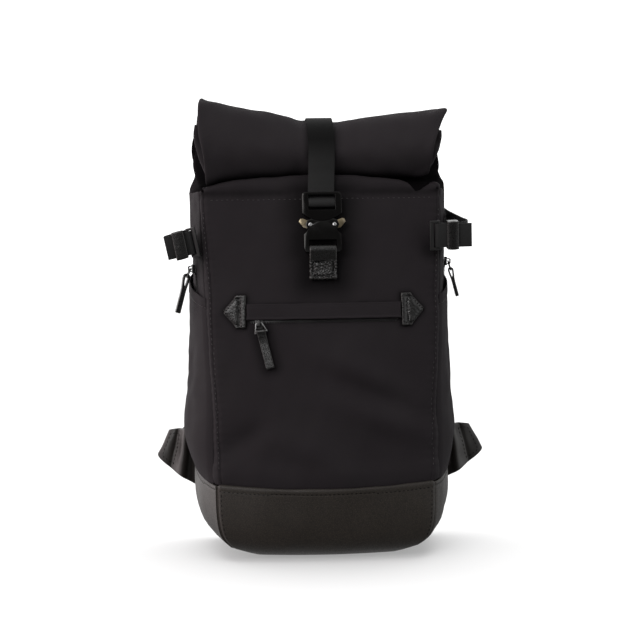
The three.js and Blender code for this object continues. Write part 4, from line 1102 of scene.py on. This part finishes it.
def swollen(name, start, sewn, cap):
    """A pad blown up from its start shape; sewn(points) is how firmly each point is held, from 0 to 1."""
    even_net(start, PAD["voxel"])
    pad = copy_without_modifiers(name, start, PADDING)
    drop(start)
    rest = mesh_points(pad.data)
    held = pad.vertex_groups.new(name="sewn")
    for index, share in enumerate(sewn(rest)):
        held.add([index], float(share), "REPLACE")
    cloth = pad.modifiers.new("swell", "CLOTH")
    cloth.settings.vertex_group_mass = "sewn"
    cloth.settings.use_pressure = True
    cloth.settings.uniform_pressure_force = PAD["pressure"]
    cloth.settings.effector_weights.gravity = 0
    cloth.collision_settings.use_collision = False
    for step in range(1, PAD["frames"] + 1):
        bpy.context.scene.frame_set(step)
    blown = mesh_points(pad.evaluated_get(bpy.context.evaluated_depsgraph_get()).data)
    pad.modifiers.remove(cloth)
    pad.vertex_groups.clear()
    bpy.context.scene.frame_set(1)
    moved = blown - rest
    far = np.linalg.norm(moved, axis=1, keepdims=True)
    rest = rest + moved * np.minimum(1, cap / np.maximum(far, 1e-9))
    pad.data.vertices.foreach_set("co", rest.ravel())
    print(name, "swelled by up to", round(float(far.max()) / MM, 1), "mm")
    set_smooth(pad.data)
    finer = pad.modifiers.new("finer", "SUBSURF")
    finer.levels = finer.render_levels = 1
    done = copy_without_modifiers(name + "_pad", pad, PADDING)
    drop(pad)
    return done


def box_cut(piece, axes):
    """A cut pattern straight from two of the coordinates, for pieces that have none."""
    set_cut(piece.data, mesh_points(piece.data)[:, axes])


print("pads: net of", PAD["voxel"] / MM, "mm, blown up for", PAD["frames"], "frames")

# %% back panel
BACK = {"thick": 7.5 * MM, "set_in": 1.2 * MM, "swell": 4 * MM, "sewn": 8 * MM}


def back_panel():
    share, v = np.meshgrid(np.linspace(0.008, 0.992, 50), np.linspace(0, 1, 56))
    z = BASE_TOP["back"] + 1.5 * MM + (BODY_TOP - BASE_TOP["back"] - 3 * MM) * v
    middle = wall_point(BODY_SECTIONS, "back", share, z, -BACK["set_in"] - BACK["thick"] / 2)
    start = sheet_piece("back_start", middle, BACK["thick"], PADDING)
    low, high = middle.reshape(-1, 3).min(0), middle.reshape(-1, 3).max(0)

    def sewn(points):
        border = np.minimum(points - low, high - points)[:, [0, 2]].min(1)
        inner = points[:, 1] < middle[0, 0, 1]
        return np.maximum(1 - ramp(border, 0, BACK["sewn"]), inner)

    piece = swollen("back", start, sewn, BACK["swell"])
    box_cut(piece, [0, 2])
    return dress(piece, "padding", "back_panel")


back_pad = back_panel()

# %% carrying straps
SHOULDER = {"thick": 8.5 * MM, "swell": 3 * MM, "edge": 4 * MM, "sewn": 7 * MM}
# step, x, y, z, width
SHOULDER_PATH = np.array([
    [0, 47, 93, 318, 56],
    [1, 47, 93, 350, 58],
    [2, 48, 99, 372, 60],
    [3, 50, 113, 384, 60],
    [4, 54, 130, 377, 60],
    [5, 61, 144, 346, 60],
    [6, 70, 150, 305, 60],
    [7, 81, 148, 258, 58],
    [8, 93, 139, 213, 54],
    [9, 101, 127, 176, 50],
    [10, 105, 118, 154, 46],
])


def shoulder_frame(share):
    """Middle, heading, width direction and width of a right-hand carrying strap."""
    place = np.asarray(share, float) * (len(SHOULDER_PATH) - 1)
    rows = between_rows(SHOULDER_PATH, place) * MM
    step = 0.02
    ahead = between_rows(SHOULDER_PATH, np.minimum(place + step, len(SHOULDER_PATH) - 1))
    along = ahead[..., 1:4] - between_rows(SHOULDER_PATH, np.maximum(place - step, 0))[..., 1:4]
    along /= np.linalg.norm(along, axis=-1, keepdims=True)
    wide = np.array([1.0, 0, 0]) - along * along[..., :1]
    wide /= np.linalg.norm(wide, axis=-1, keepdims=True)
    return rows[..., 1:4], along, wide, rows[..., 4]


def carrying_strap(side):
    across, share = np.meshgrid(np.linspace(-0.5, 0.5, 26), np.linspace(0, 1, 90))
    at, along, wide, width = shoulder_frame(share)
    middle = at + wide * (across * width)[..., None]
    start = sheet_piece(f"strap_start_{side}", middle * MIRROR[side], SHOULDER["thick"], PADDING)
    line, _, _, widths = shoulder_frame(np.linspace(0, 1, 200))
    line = line * MIRROR[side]

    def sewn(points):
        near = np.argmin(((points[:, None] - line[None]) ** 2).sum(-1), 1)
        edge = widths[near] / 2 - np.abs(points[:, 0] - line[near, 0])
        return 1 - ramp(edge, 0, SHOULDER["sewn"])

    piece = swollen(f"carrying_strap_{side}", start, sewn, SHOULDER["swell"])
    box_cut(piece, [0, 2])
    return dress(piece, "padding", f"shoulder_strap_{side}")


carrying_pads = {side: carrying_strap(side) for side in SIGN}

# %% [markdown]
# ## Wings of the carrying straps
# At the lower corners the carrying straps end in wide belts that are folded once and sewn to the base. They
# are dense satin webbing, so their bends show as bright bands. Each is a sheet between two edge curves.

# %% wings
WING = {"thick": 2.2 * MM, "long": 0.17, "wide": 0.06, "end_gap": -5 * MM}
WING |= {"root": 114, "left": 0.94, "right": 1.05}
# share along the wing, reach of the bend, mm backwards
WING_BENDS = [(0.27, 0.05, -9), (0.365, 0.02, 1.5)]
# lower edge x, y, z, upper edge x, y, z
WING_EDGES = np.array([
    [114, 88.5, 46, 112, 89, 109],
    [136, 88.5, 58, 134, 90, 116],
    [158, 89, 72, 149, 91, 118],
    [176.5, 95, 88, 162.5, 97, 116],
    [163, 106, 92, 150, 108, 114],
    [128, 113, 102, 132, 114.5, 136],
])


def wing_rows(side):
    """Edge rows of a wing with its side's reach, ending just inside the carrying strap's end."""
    rows = WING_EDGES.copy()
    for column in (0, 3):
        rows[:, column] += (WING[side] - 1) * np.maximum(0, rows[:, column] - WING["root"])
    at, along, wide, width = shoulder_frame(1.0)
    end = at + along * WING["end_gap"]
    half = width / 2 - SHOULDER["edge"]
    last = np.concatenate([end - wide * half, end + wide * half]) / MM
    rows = np.vstack([rows, last])
    return np.column_stack([np.arange(len(rows)), rows])


def wing_point(side, along, v):
    rows = wing_rows(side)
    edges = between_rows(rows, along * (len(rows) - 1))[..., 1:] * MM
    low, high = edges[..., :3], edges[..., 3:]
    points = low + (high - low) * np.asarray(v)[..., None]
    return points * MIRROR[side]


def wing(side):
    thick, long, wide = WING["thick"], WING["long"], WING["wide"]
    along, v = np.meshgrid(stops(120, long, thick), stops(34, wide, thick))
    points = wing_point(side, along, v)
    for at, reach, move in WING_BENDS:
        points[..., 1] += move * MM * bump_at(along - at, reach)
    points = relief(points, uneven(along * long, v * wide, (0.5, 30, 61)) * np.sin(math.pi * v))
    piece = sheet_piece(f"belt_wing_{side}", points, thick, BELT)
    return dress(piece, "webbing", f"strap_wing_{side}")


belt_wings = {side: wing(side) for side in SIGN}

# %% [markdown]
# ## Hard pieces and narrow straps
# The buckle, the hooks, the zip sliders and the narrow straps already have their right shape as solids.
# What they lack is the small round that casting, polishing or cutting leaves on every edge, and it is this
# round that catches the light. A copy of each solid is cleaned of its triangles and its sharp edges are
# bevelled.

# %% eased copies of solids
WELD, FLAT_ANGLE, SMOOTH_ANGLE = 0.002 * MM, math.radians(0.6), math.radians(38)


def eased_copy(name, node, round_by, finish, sharp=28.0, segments=3):
    """A copy of a solid with flat faces joined and sharp edges rounded."""
    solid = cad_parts[node].data
    body = bmesh.new()
    for point in mesh_points(solid):
        body.verts.new(point)
    body.verts.ensure_lookup_table()
    for face in solid.polygons:
        body.faces.new([body.verts[i] for i in face.vertices])
    bmesh.ops.remove_doubles(body, verts=body.verts, dist=WELD)
    bmesh.ops.dissolve_limit(body, angle_limit=FLAT_ANGLE, verts=body.verts, edges=body.edges)
    corners = [e for e in body.edges if e.is_manifold and e.calc_face_angle(0) > math.radians(sharp)]
    bmesh.ops.bevel(
        body, geom=corners, offset=round_by, segments=segments, profile=0.5,
        affect="EDGES", clamp_overlap=True,
    )
    bmesh.ops.triangulate(body, faces=[f for f in body.faces if len(f.verts) > 4])
    mesh = bpy.data.meshes.new(name)
    body.to_mesh(mesh)
    body.free()
    set_smooth(mesh)
    mesh.set_sharp_from_angle(angle=SMOOTH_ANGLE)
    mesh.materials.append(finish)
    return shown(name, mesh)


# name of the piece, solid, rounding in mm, finish, slot
HARD_PIECES = [
    ("buckle_upper", "buckle_frame", 0.8, BLACK_METAL, "black_metal"),
    ("buckle_lower", "buckle_body", 0.8, BLACK_METAL, "black_metal"),
    ("rivet_head_left", "rivet_left", 0.25, STEEL, "steel"),
    ("rivet_head_right", "rivet_right", 0.25, STEEL, "steel"),
]
for place in ZIP_PLACES:
    HARD_PIECES += [
        (f"slider_{place}", f"zip_slider_{place}", 0.5, BLACK_PAINT, "black_metal"),
        (f"wire_link_{place}", f"zip_link_{place}", 0.35, BLACK_METAL if place == "right" else WIRE, "steel"),
    ]
for side in SIGN:
    HARD_PIECES.append((f"hook_plate_{side}", f"strap_hook_{side}", 0.6, BLACK_PAINT, "black_metal"))
for name, node, round_by, finish, slot in HARD_PIECES:
    dress(eased_copy(name, node, round_by * MM, finish), slot, node)
for side in SIGN:
    lever = eased_copy(f"brass_lever_{side}", f"release_lever_{side}", 0.45 * MM, BRASS)
    dress(lever, "brass", f"release_lever_{side}", body=f"lever_{side}")

# %% [markdown]
# ## Small leather pieces
# The arrow tabs, the buckle's tab, the keepers and the zip pulls are cut from soft glossy leather. Sewing
# pulls it in along the stitches, so that it stands up like a small pillow on both sides of them, and
# handling crinkles it. Each solid's copy gets an even fine net, is smoothed, and is then moved along its
# normals.

# %% small leather pieces
TRIM = {"net": 0.45 * MM, "channel": 0.8 * MM, "width": 1.0 * MM, "pillow": 0.7 * MM}
TRIM |= {"crinkle": 0.1 * MM, "fold": 0.8 * MM, "bulge": 1.4 * MM}
TAB_AT = front_point(0.0, 337 * MM, 0.0)
TAB_UP, TAB_OUT = np.array([0, 0.2323, 0.9726]), np.array([0, -0.9726, 0.2323])
TAB_END = {"below": 37.5 * MM, "over": 2 * MM, "plain": 0.2, "crinkled": 3.0}
ARROW_X, ARROW_Z = 89.75 * MM, 250.4 * MM


def laid_on(piece, path, lift):
    """A path moved to the nearest points of a piece, then lifted off it."""
    surface = BVHTree.FromObject(piece, bpy.context.evaluated_depsgraph_get())
    found = [surface.find_nearest(Vector(point)) for point in path]
    return np.array([spot + normal * lift for spot, normal, _, _ in found])


def box_path(corners, step=1.0):
    """A closed path in mm round some corners, as two columns."""
    rows = []
    for a, b in zip(corners, corners[1:] + corners[:1]):
        count = max(2, round(math.dist(a, b) / step))
        rows += [(a[0] + (b[0] - a[0]) * i / count, a[1] + (b[1] - a[1]) * i / count) for i in range(count)]
    return np.array(rows + rows[:1])


def arrow_path(side):
    outline = box_path([(-8.6, -13), (-2.2, -13), (8, 0), (-2.2, 13), (-8.6, 13)]) * MM
    return front_point(SIGN[side] * (ARROW_X + outline[:, 0]), ARROW_Z + outline[:, 1], 6 * MM)


def tab_path():
    corners = [(-10, -52), (-7.5, -54.5), (7.5, -54.5), (10, -52), (10, -41), (-10, -41)]
    box = box_path(corners) * MM
    return TAB_AT + box[:, :1] * np.array([1, 0, 0]) + box[:, 1:] * TAB_UP + TAB_OUT * 9 * MM


def tab_end(points):
    """Strong crinkles in the stitched end of the buckle's tab."""
    up = (points - TAB_AT) @ TAB_UP
    return TAB_END["plain"] + TAB_END["crinkled"] * ramp(-up, TAB_END["below"], TAB_END["over"])


def soft_leather(name, node, sewn=None, crinkled=0.25):
    """A copy of a solid as soft leather, pulled in along the path that it is sewn on."""
    start = eased_copy(name + "_start", node, 0.3 * MM, TRIM_LEATHER, sharp=50.0)
    even_net(start, TRIM["net"])
    smooth = start.modifiers.new("smooth", "SMOOTH")
    smooth.factor, smooth.iterations = 0.5, 6
    piece = copy_without_modifiers(name, start, TRIM_LEATHER)
    drop(start)
    mesh = piece.data
    points, out = mesh_points(mesh), np.zeros(len(mesh.vertices) * 3)
    mesh.vertex_normals.foreach_get("vector", out)
    x, y, z = points.T
    where = crinkled(points) if callable(crinkled) else crinkled
    moves = where * TRIM["crinkle"] * (soft_noise(x + y, z, 5 * MM, 71) + soft_noise(x - y, z, 2.6 * MM, 72))
    if node == "zip_pull_front":
        moves += TRIM["fold"] * bump_at(z.max() - 2.4 * MM - z, 1.8 * MM)
    if node.startswith("strap_keeper"):
        from_middle = 2 * (x - x.min()) / (x.max() - x.min()) - 1
        moves += TRIM["bulge"] * (1 - from_middle ** 2) * np.clip(-out[1::3], 0, 1)
    if sewn is not None:
        line = laid_on(piece, sewn, 0.0)
        away = np.sqrt(((points[:, None] - line[None]) ** 2).sum(-1)).min(1)
        moves += TRIM["pillow"] * (1 - bump_at(away, 2.4 * TRIM["width"]))
        moves -= TRIM["channel"] * bump_at(away, TRIM["width"])
    points += out.reshape(-1, 3) * moves[:, None]
    mesh.vertices.foreach_set("co", points.ravel())
    set_smooth(mesh)
    mesh.update()
    return dress(piece, "leather", node)


soft_leather("buckle_leather", "buckle_tab", tab_path(), tab_end)
for side in SIGN:
    soft_leather(f"arrow_leather_{side}", f"pocket_tab_{side}", arrow_path(side), 0.5)
    soft_leather(f"leather_keeper_{side}", f"strap_keeper_{side}")
for place in ZIP_PLACES:
    soft_leather(f"leather_pull_{place}", f"zip_pull_{place}")

# %% narrow straps
STRAP_LEAN = 2.3 * MM
SIDE_STRAP_CUT = {"left": (0.024, 0.157), "right": (0.024, 0.189)}


def narrow_strap(name, node, flat):
    piece = eased_copy(name, node, 0.4 * MM, WEBBING, sharp=50.0, segments=2)
    box_cut(piece, [0, 2])
    return dress(piece, "webbing", node)


closure = narrow_strap("closure_webbing", "closure_strap", (0.0265, 0.319))
places = mesh_points(closure.data)
places[:, 0] += STRAP_LEAN * ramp(places[:, 2], BODY_TOP, 60 * MM)
closure.data.vertices.foreach_set("co", places.ravel())
for side in SIGN:
    narrow_strap(f"side_webbing_{side}", f"side_strap_{side}", SIDE_STRAP_CUT[side])

# %% [markdown]
# ## Stitches and zip teeth
# A row of stitches is one small shape repeated along a path, which is what Geometry Nodes are for: the path
# becomes a curve, the curve is cut into equal steps, and each step carries one stitch turned along it. The
# zip teeth use a second tree, which also turns each tooth to face outwards and puts every other one on the
# other side. The paths start near the cloth and are then laid on the nearest point of the piece that they
# are sewn through.

# %% node trees
RANDOM_SEED = 7


def geometry_tree(name, sizes):
    """An empty tree with a mesh going in, a mesh coming out and named inputs for its sizes."""
    tree = bpy.data.node_groups.new(name, "GeometryNodeTree")
    tree.interface.new_socket("Path", in_out="INPUT", socket_type="NodeSocketGeometry")
    for label, value in sizes.items():
        kind = "NodeSocketVector" if isinstance(value, tuple) else "NodeSocketFloat"
        tree.interface.new_socket(label, in_out="INPUT", socket_type=kind).default_value = value
    tree.interface.new_socket("Mesh", in_out="OUTPUT", socket_type="NodeSocketGeometry")
    return tree, add_node(tree, "NodeGroupInput").outputs, add_node(tree, "NodeGroupOutput")


def stepped_curve(tree, path, pitch):
    curve = add_node(tree, "GeometryNodeMeshToCurve", {"Mesh": path}).outputs[0]
    steps = {"Curve": curve, "Length": pitch}
    return add_node(tree, "GeometryNodeResampleCurve", steps, mode="LENGTH").outputs[0]


def repeated(tree, result, points, shape, turn, scale, smooth, finish):
    """The shape on every point, made real, with its finish."""
    given = {"Points": points, "Instance": shape, "Rotation": turn, "Scale": scale}
    copies = add_node(tree, "GeometryNodeInstanceOnPoints", given)
    real = add_node(tree, "GeometryNodeRealizeInstances", {0: copies.outputs[0]})
    soft = add_node(tree, "GeometryNodeSetShadeSmooth", {0: real.outputs[0], "Shade Smooth": smooth})
    painted = add_node(tree, "GeometryNodeSetMaterial", {"Geometry": soft.outputs[0], "Material": finish})
    wire(tree, result.inputs[0], painted.outputs[0])


def stitch_tree():
    sizes = {"Pitch": 5.2 * MM, "Length": 2.2 * MM, "Thread": 0.75 * MM}
    tree, given, result = geometry_tree("stitches", sizes)
    bead = add_node(tree, "GeometryNodeMeshUVSphere", {"Segments": 6, "Rings": 4, "Radius": 0.5})
    tangent = add_node(tree, "GeometryNodeInputTangent").outputs[0]
    turn = add_node(tree, "FunctionNodeAlignRotationToVector", {"Vector": tangent}, axis="X")
    varied = add_node(tree, "FunctionNodeRandomValue", data_type="FLOAT")
    for socket in varied.inputs:
        if socket.enabled and socket.name in ("Min", "Max", "Seed"):
            socket.default_value = {"Min": 0.85, "Max": 1.1, "Seed": RANDOM_SEED}[socket.name]
    drawn = next(socket for socket in varied.outputs if socket.enabled)
    length, thread = sums(tree, "MULTIPLY", given["Length"], drawn), given["Thread"]
    scale = add_node(tree, "ShaderNodeCombineXYZ", {0: length, 1: thread, 2: thread})
    points = stepped_curve(tree, given["Path"], given["Pitch"])
    repeated(tree, result, points, bead.outputs["Mesh"], turn.outputs[0], scale.outputs[0], True, THREAD)
    return tree


def teeth_tree():
    sizes = {"Pitch": 1.3 * MM, "Tooth": (0.9 * MM, 2.6 * MM, 1.4 * MM)}
    sizes |= {"Facing": (0, -1, 0), "Stagger": 0.7 * MM}
    tree, given, result = geometry_tree("zip_teeth", sizes)
    tangent = add_node(tree, "GeometryNodeInputTangent").outputs[0]
    facing = given["Facing"]
    axes = {"Primary Axis": tangent, "Secondary Axis": facing}
    turn = add_node(tree, "FunctionNodeAxesToRotation", axes, primary_axis="X", secondary_axis="Z")
    aside = add_node(tree, "ShaderNodeVectorMath", {0: facing, 1: tangent}, operation="CROSS_PRODUCT")
    every_other = sums(tree, "MODULO", add_node(tree, "GeometryNodeInputIndex").outputs[0], 2.0)
    swing = sums(tree, "MULTIPLY", sums(tree, "MULTIPLY_ADD", every_other, 2.0, -1.0), given["Stagger"])
    offset = add_node(tree, "ShaderNodeVectorMath", {0: aside.outputs[0], "Scale": swing}, operation="SCALE")
    steps = stepped_curve(tree, given["Path"], given["Pitch"])
    moved = add_node(tree, "GeometryNodeSetPosition", {"Geometry": steps, "Offset": offset.outputs[0]})
    tooth = add_node(tree, "GeometryNodeMeshCube", {"Size": given["Tooth"]})
    shape, full_size = tooth.outputs["Mesh"], (1, 1, 1)
    repeated(tree, result, moved.outputs[0], shape, turn.outputs[0], full_size, False, BLACK_PAINT)
    return tree


STITCHES, TEETH = stitch_tree(), teeth_tree()
print("trees:", STITCHES.name, TEETH.name)

# %% paths
LIFT = {"cloth": 0.05 * MM, "leather": 0.05 * MM, "trim": 0.15 * MM, "zip": 0.5 * MM}
FRONT_ZIP_Z = 240.9 * MM


def along_paths(name, paths, tree, finish, **sizes):
    """A tree run along some paths, as one plain mesh."""
    points, edges = [], []
    for path in paths:
        first = len(points)
        points += path.tolist()
        edges += [(i, i + 1) for i in range(first, len(points) - 1)]
    mesh = bpy.data.meshes.new(name + "_path")
    mesh.from_pydata(points, edges, [])
    carrier = shown(name + "_path", mesh)
    modifier = carrier.modifiers.new("tree", "NODES")
    modifier.node_group = tree
    for item in tree.interface.items_tree:
        if item.in_out == "INPUT" and item.name.lower() in sizes:
            modifier[item.identifier] = sizes[item.name.lower()]
    piece = copy_without_modifiers(name, carrier, finish)
    drop(carrier)
    return piece


def even(first, last, step=1.5):
    """Even places in metres from two ends in mm."""
    return np.linspace(first, last, max(2, round(abs(last - first) / step))) * MM


def cloth_rows():
    """Rows of stitches in the cloth."""
    lift = LIFT["cloth"]
    x = even(-108, 108)
    rows = [laid_on(front_cloth, front_point(x, TOP_STITCH_Z, 3 * MM), lift)]
    z = even(94, 350)
    seam = between_rows(BODY_SECTIONS, z)[:, 1] - SEAM_STITCH * MM
    seam -= np.interp(z, SEAM_PLACE[:, 0], SEAM_PLACE[:, 1])
    rows += [laid_on(front_cloth, front_point(sign * seam, z, 3 * MM), lift) for sign in SIGN.values()]
    behind = np.linspace(0.06, 0.94, 100)
    hem = 1 - POCKET["hem"] / POCKET["tall"]
    for side in SIGN:
        rows.append(laid_on(pocket_cloth[side], pocket_point(side, behind, hem, 4 * MM), lift))
        share = np.linspace(0.34, 0.97, 220)
        at, along, wide, width = shoulder_frame(share)
        outer = at + np.cross(wide, along) * 14 * MM
        for edge in (-1, 1):
            path = (outer + wide * (edge * (width / 2 - 8 * MM))[:, None]) * MIRROR[side]
            rows.append(laid_on(carrying_pads[side], path, lift))
    border = box_path([(-114, 121), (114, 121), (114, 361), (-114, 361)], 2.0) * MM
    path = np.column_stack([border[:, 0], np.full(len(border), 0.1), border[:, 1]])
    return rows + [laid_on(back_pad, path, lift)]


def trim_rows():
    """Rows of stitches in the small leather pieces."""
    sewn = {f"arrow_leather_{side}": arrow_path(side) for side in SIGN} | {"buckle_leather": tab_path()}
    return [laid_on(bpy.data.objects[name], path, LIFT["trim"]) for name, path in sewn.items()]


def leather_rows():
    """Rows of stitches in the leather base and in the wide belts."""
    lift, step = LIFT["leather"], 2 * MM
    rows = []
    for wall, _, length in ROUND_PLAN:
        share = np.linspace(0.03, 0.97, round(length / step))
        path = wall_point(BODY_SECTIONS, wall, share, base_top(wall, share) - 4.5 * MM, 4 * MM)
        rows.append(laid_on(leather_tub, path, lift))
    z = even(22, 66)
    for side, sign in SIGN.items():
        share = 0.5 + sign * (0.5 - 7.5 * MM / FRONT_LENGTH)
        rows.append(laid_on(leather_tub, wall_point(BODY_SECTIONS, "front", share, z, 3 * MM), lift))
        box = box_path([(37, 12), (46, 12), (46, 88), (37, 88)], 2.0) / 100
        path = wing_point(side, box[:, 0], box[:, 1]) - np.array([0, 4, 0]) * MM
        rows.append(laid_on(belt_wings[side], path, lift))
    return rows


def zip_rows():
    """Paths of the three zips, each with the direction that it faces."""
    x = even(-72, 72)
    path = front_point(x, FRONT_ZIP_Z, 3 * MM)
    yield "front", laid_on(front_cloth, path, LIFT["zip"]), (0, -0.98, 0.2)
    for side, share, top in (("left", 0.68, 288), ("right", 0.48, 291)):
        z = even(225, top)
        path = wall_point(BODY_SECTIONS, side, share, z, 3 * MM)
        yield side, laid_on(side_cloth[side], path, LIFT["zip"]), (SIGN[side], 0, 0)


dress(along_paths("cloth_stitches", cloth_rows(), STITCHES, THREAD), "cloth")
# The leather's stitches are near-black: thread, and painted shade in their holes
sizes = {"pitch": 4.4 * MM, "length": 2.9 * MM, "thread": 0.75 * MM}
dress(along_paths("leather_stitches", leather_rows(), STITCHES, HOLE_SHADE_THREAD, **sizes), "leather")
sizes = {"pitch": 3.2 * MM, "length": 1.7 * MM, "thread": 0.9 * MM}
dress(along_paths("trim_stitches", trim_rows(), STITCHES, HOLE_SHADE_THREAD, **sizes), "leather")
for place, path, facing in zip_rows():
    dress(along_paths(f"zip_teeth_{place}", [path], TEETH, BLACK_PAINT, facing=facing), "black_metal")

# %% [markdown]
# ## Painted shade where pieces lie close
# Round the buckle, under the roll and beside the hooks hardly any light gets in, so shade is painted into
# the cloth there. The distance from each point of the cloth to the neighbouring piece gives a mask, kept in
# the mesh as an attribute named shade, and the cloth's finish darkens its colour by it as painted shade. The
# strap on top of the roll and the fold above the front's top stitches get painted shade by their height
# alone.

# %% shade
BUCKLE = ["buckle_upper", "buckle_lower", "buckle_leather"]
# cloth, its neighbours, reach in mm, share of its colour lost to painted shade
SHADES = [
    ("front_cloth", BUCKLE, 19, 0.72),
    ("front_cloth", ["closure_webbing"], 5, 0.6),
    ("front_cloth", ["roll_cloth"], 4, 0.6),
    ("front_cloth", ["pocket_strip"], 2.0, 0.95),
    ("front_cloth", ["arrow_leather_left", "arrow_leather_right"], 3, 0.6),
    ("front_cloth", ["leather_pull_front"], 7, 0.6),
    ("front_cloth", ["hook_plate_left", "hook_plate_right"], 9, 0.8),
    ("roll_cloth", ["front_cloth"], 7, 0.7),
    ("roll_cloth", ["closure_webbing"], 4, 0.6),
    ("collar_cloth", ["roll_cloth"], 24, 0.85),
    ("side_cloth_left", ["hook_plate_left", "leather_keeper_left"], 16, 0.7),
    ("side_cloth_right", ["hook_plate_right", "leather_keeper_right"], 16, 0.7),
]
# Painted shade by height: the strap darker towards its top, and a dark band just above the front's top
# stitches
STRAP_SHADE = {"from": 388 * MM, "over": 35 * MM, "share": 0.85}
FOLD_SHADE = {"above": 4.5 * MM, "reach": 4 * MM, "share": 0.42}


def darken(mesh, shares):
    """Raises a mesh's shade to the given shares, one for each point."""
    mask = mesh.attributes.get("shade") or mesh.attributes.new("shade", "FLOAT", "POINT")
    values = np.zeros(len(mesh.vertices), np.float32)
    mask.data.foreach_get("value", values)
    mask.data.foreach_set("value", np.maximum(values, shares).astype(np.float32))


def darken_near(name, neighbour, reach, share):
    mesh = bpy.data.objects[name].data
    surface = BVHTree.FromObject(bpy.data.objects[neighbour], bpy.context.evaluated_depsgraph_get())
    far = [surface.find_nearest(Vector(point), 2.5 * reach)[3] for point in mesh_points(mesh)]
    far = np.array([math.inf if distance is None else distance for distance in far])
    darken(mesh, share * bump_at(far, reach))


# Painted shade on each cloth, by its distance to each neighbour
for name, neighbours, reach, share in SHADES:
    for neighbour in neighbours:
        darken_near(name, neighbour, reach * MM, share)
# Painted shade on the strap's top and on the band above the front's top stitches
up_strap = ramp(mesh_points(closure.data)[:, 2], STRAP_SHADE["from"], STRAP_SHADE["over"])
darken(closure.data, STRAP_SHADE["share"] * up_strap)
above_stitch = mesh_points(front_cloth.data)[:, 2] - TOP_STITCH_Z - FOLD_SHADE["above"]
darken(front_cloth.data, FOLD_SHADE["share"] * bump_at(above_stitch, FOLD_SHADE["reach"]))
print("shaded:", sorted({name for name, *_ in SHADES}))

# %% [markdown]
# ## Size and finish
# The dressed pack has to keep the frame's size, so its box is measured at the end and its growth
# beyond the frame's box is printed.

# %% size and finish
bpy.context.view_layer.update()
dressed_box = [list(corner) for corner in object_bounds()]
grown = [[round((b - a) / MM, 1) for a, b in zip(*pair)] for pair in zip(cad_box, dressed_box)]
print("grew by", grown, "mm")
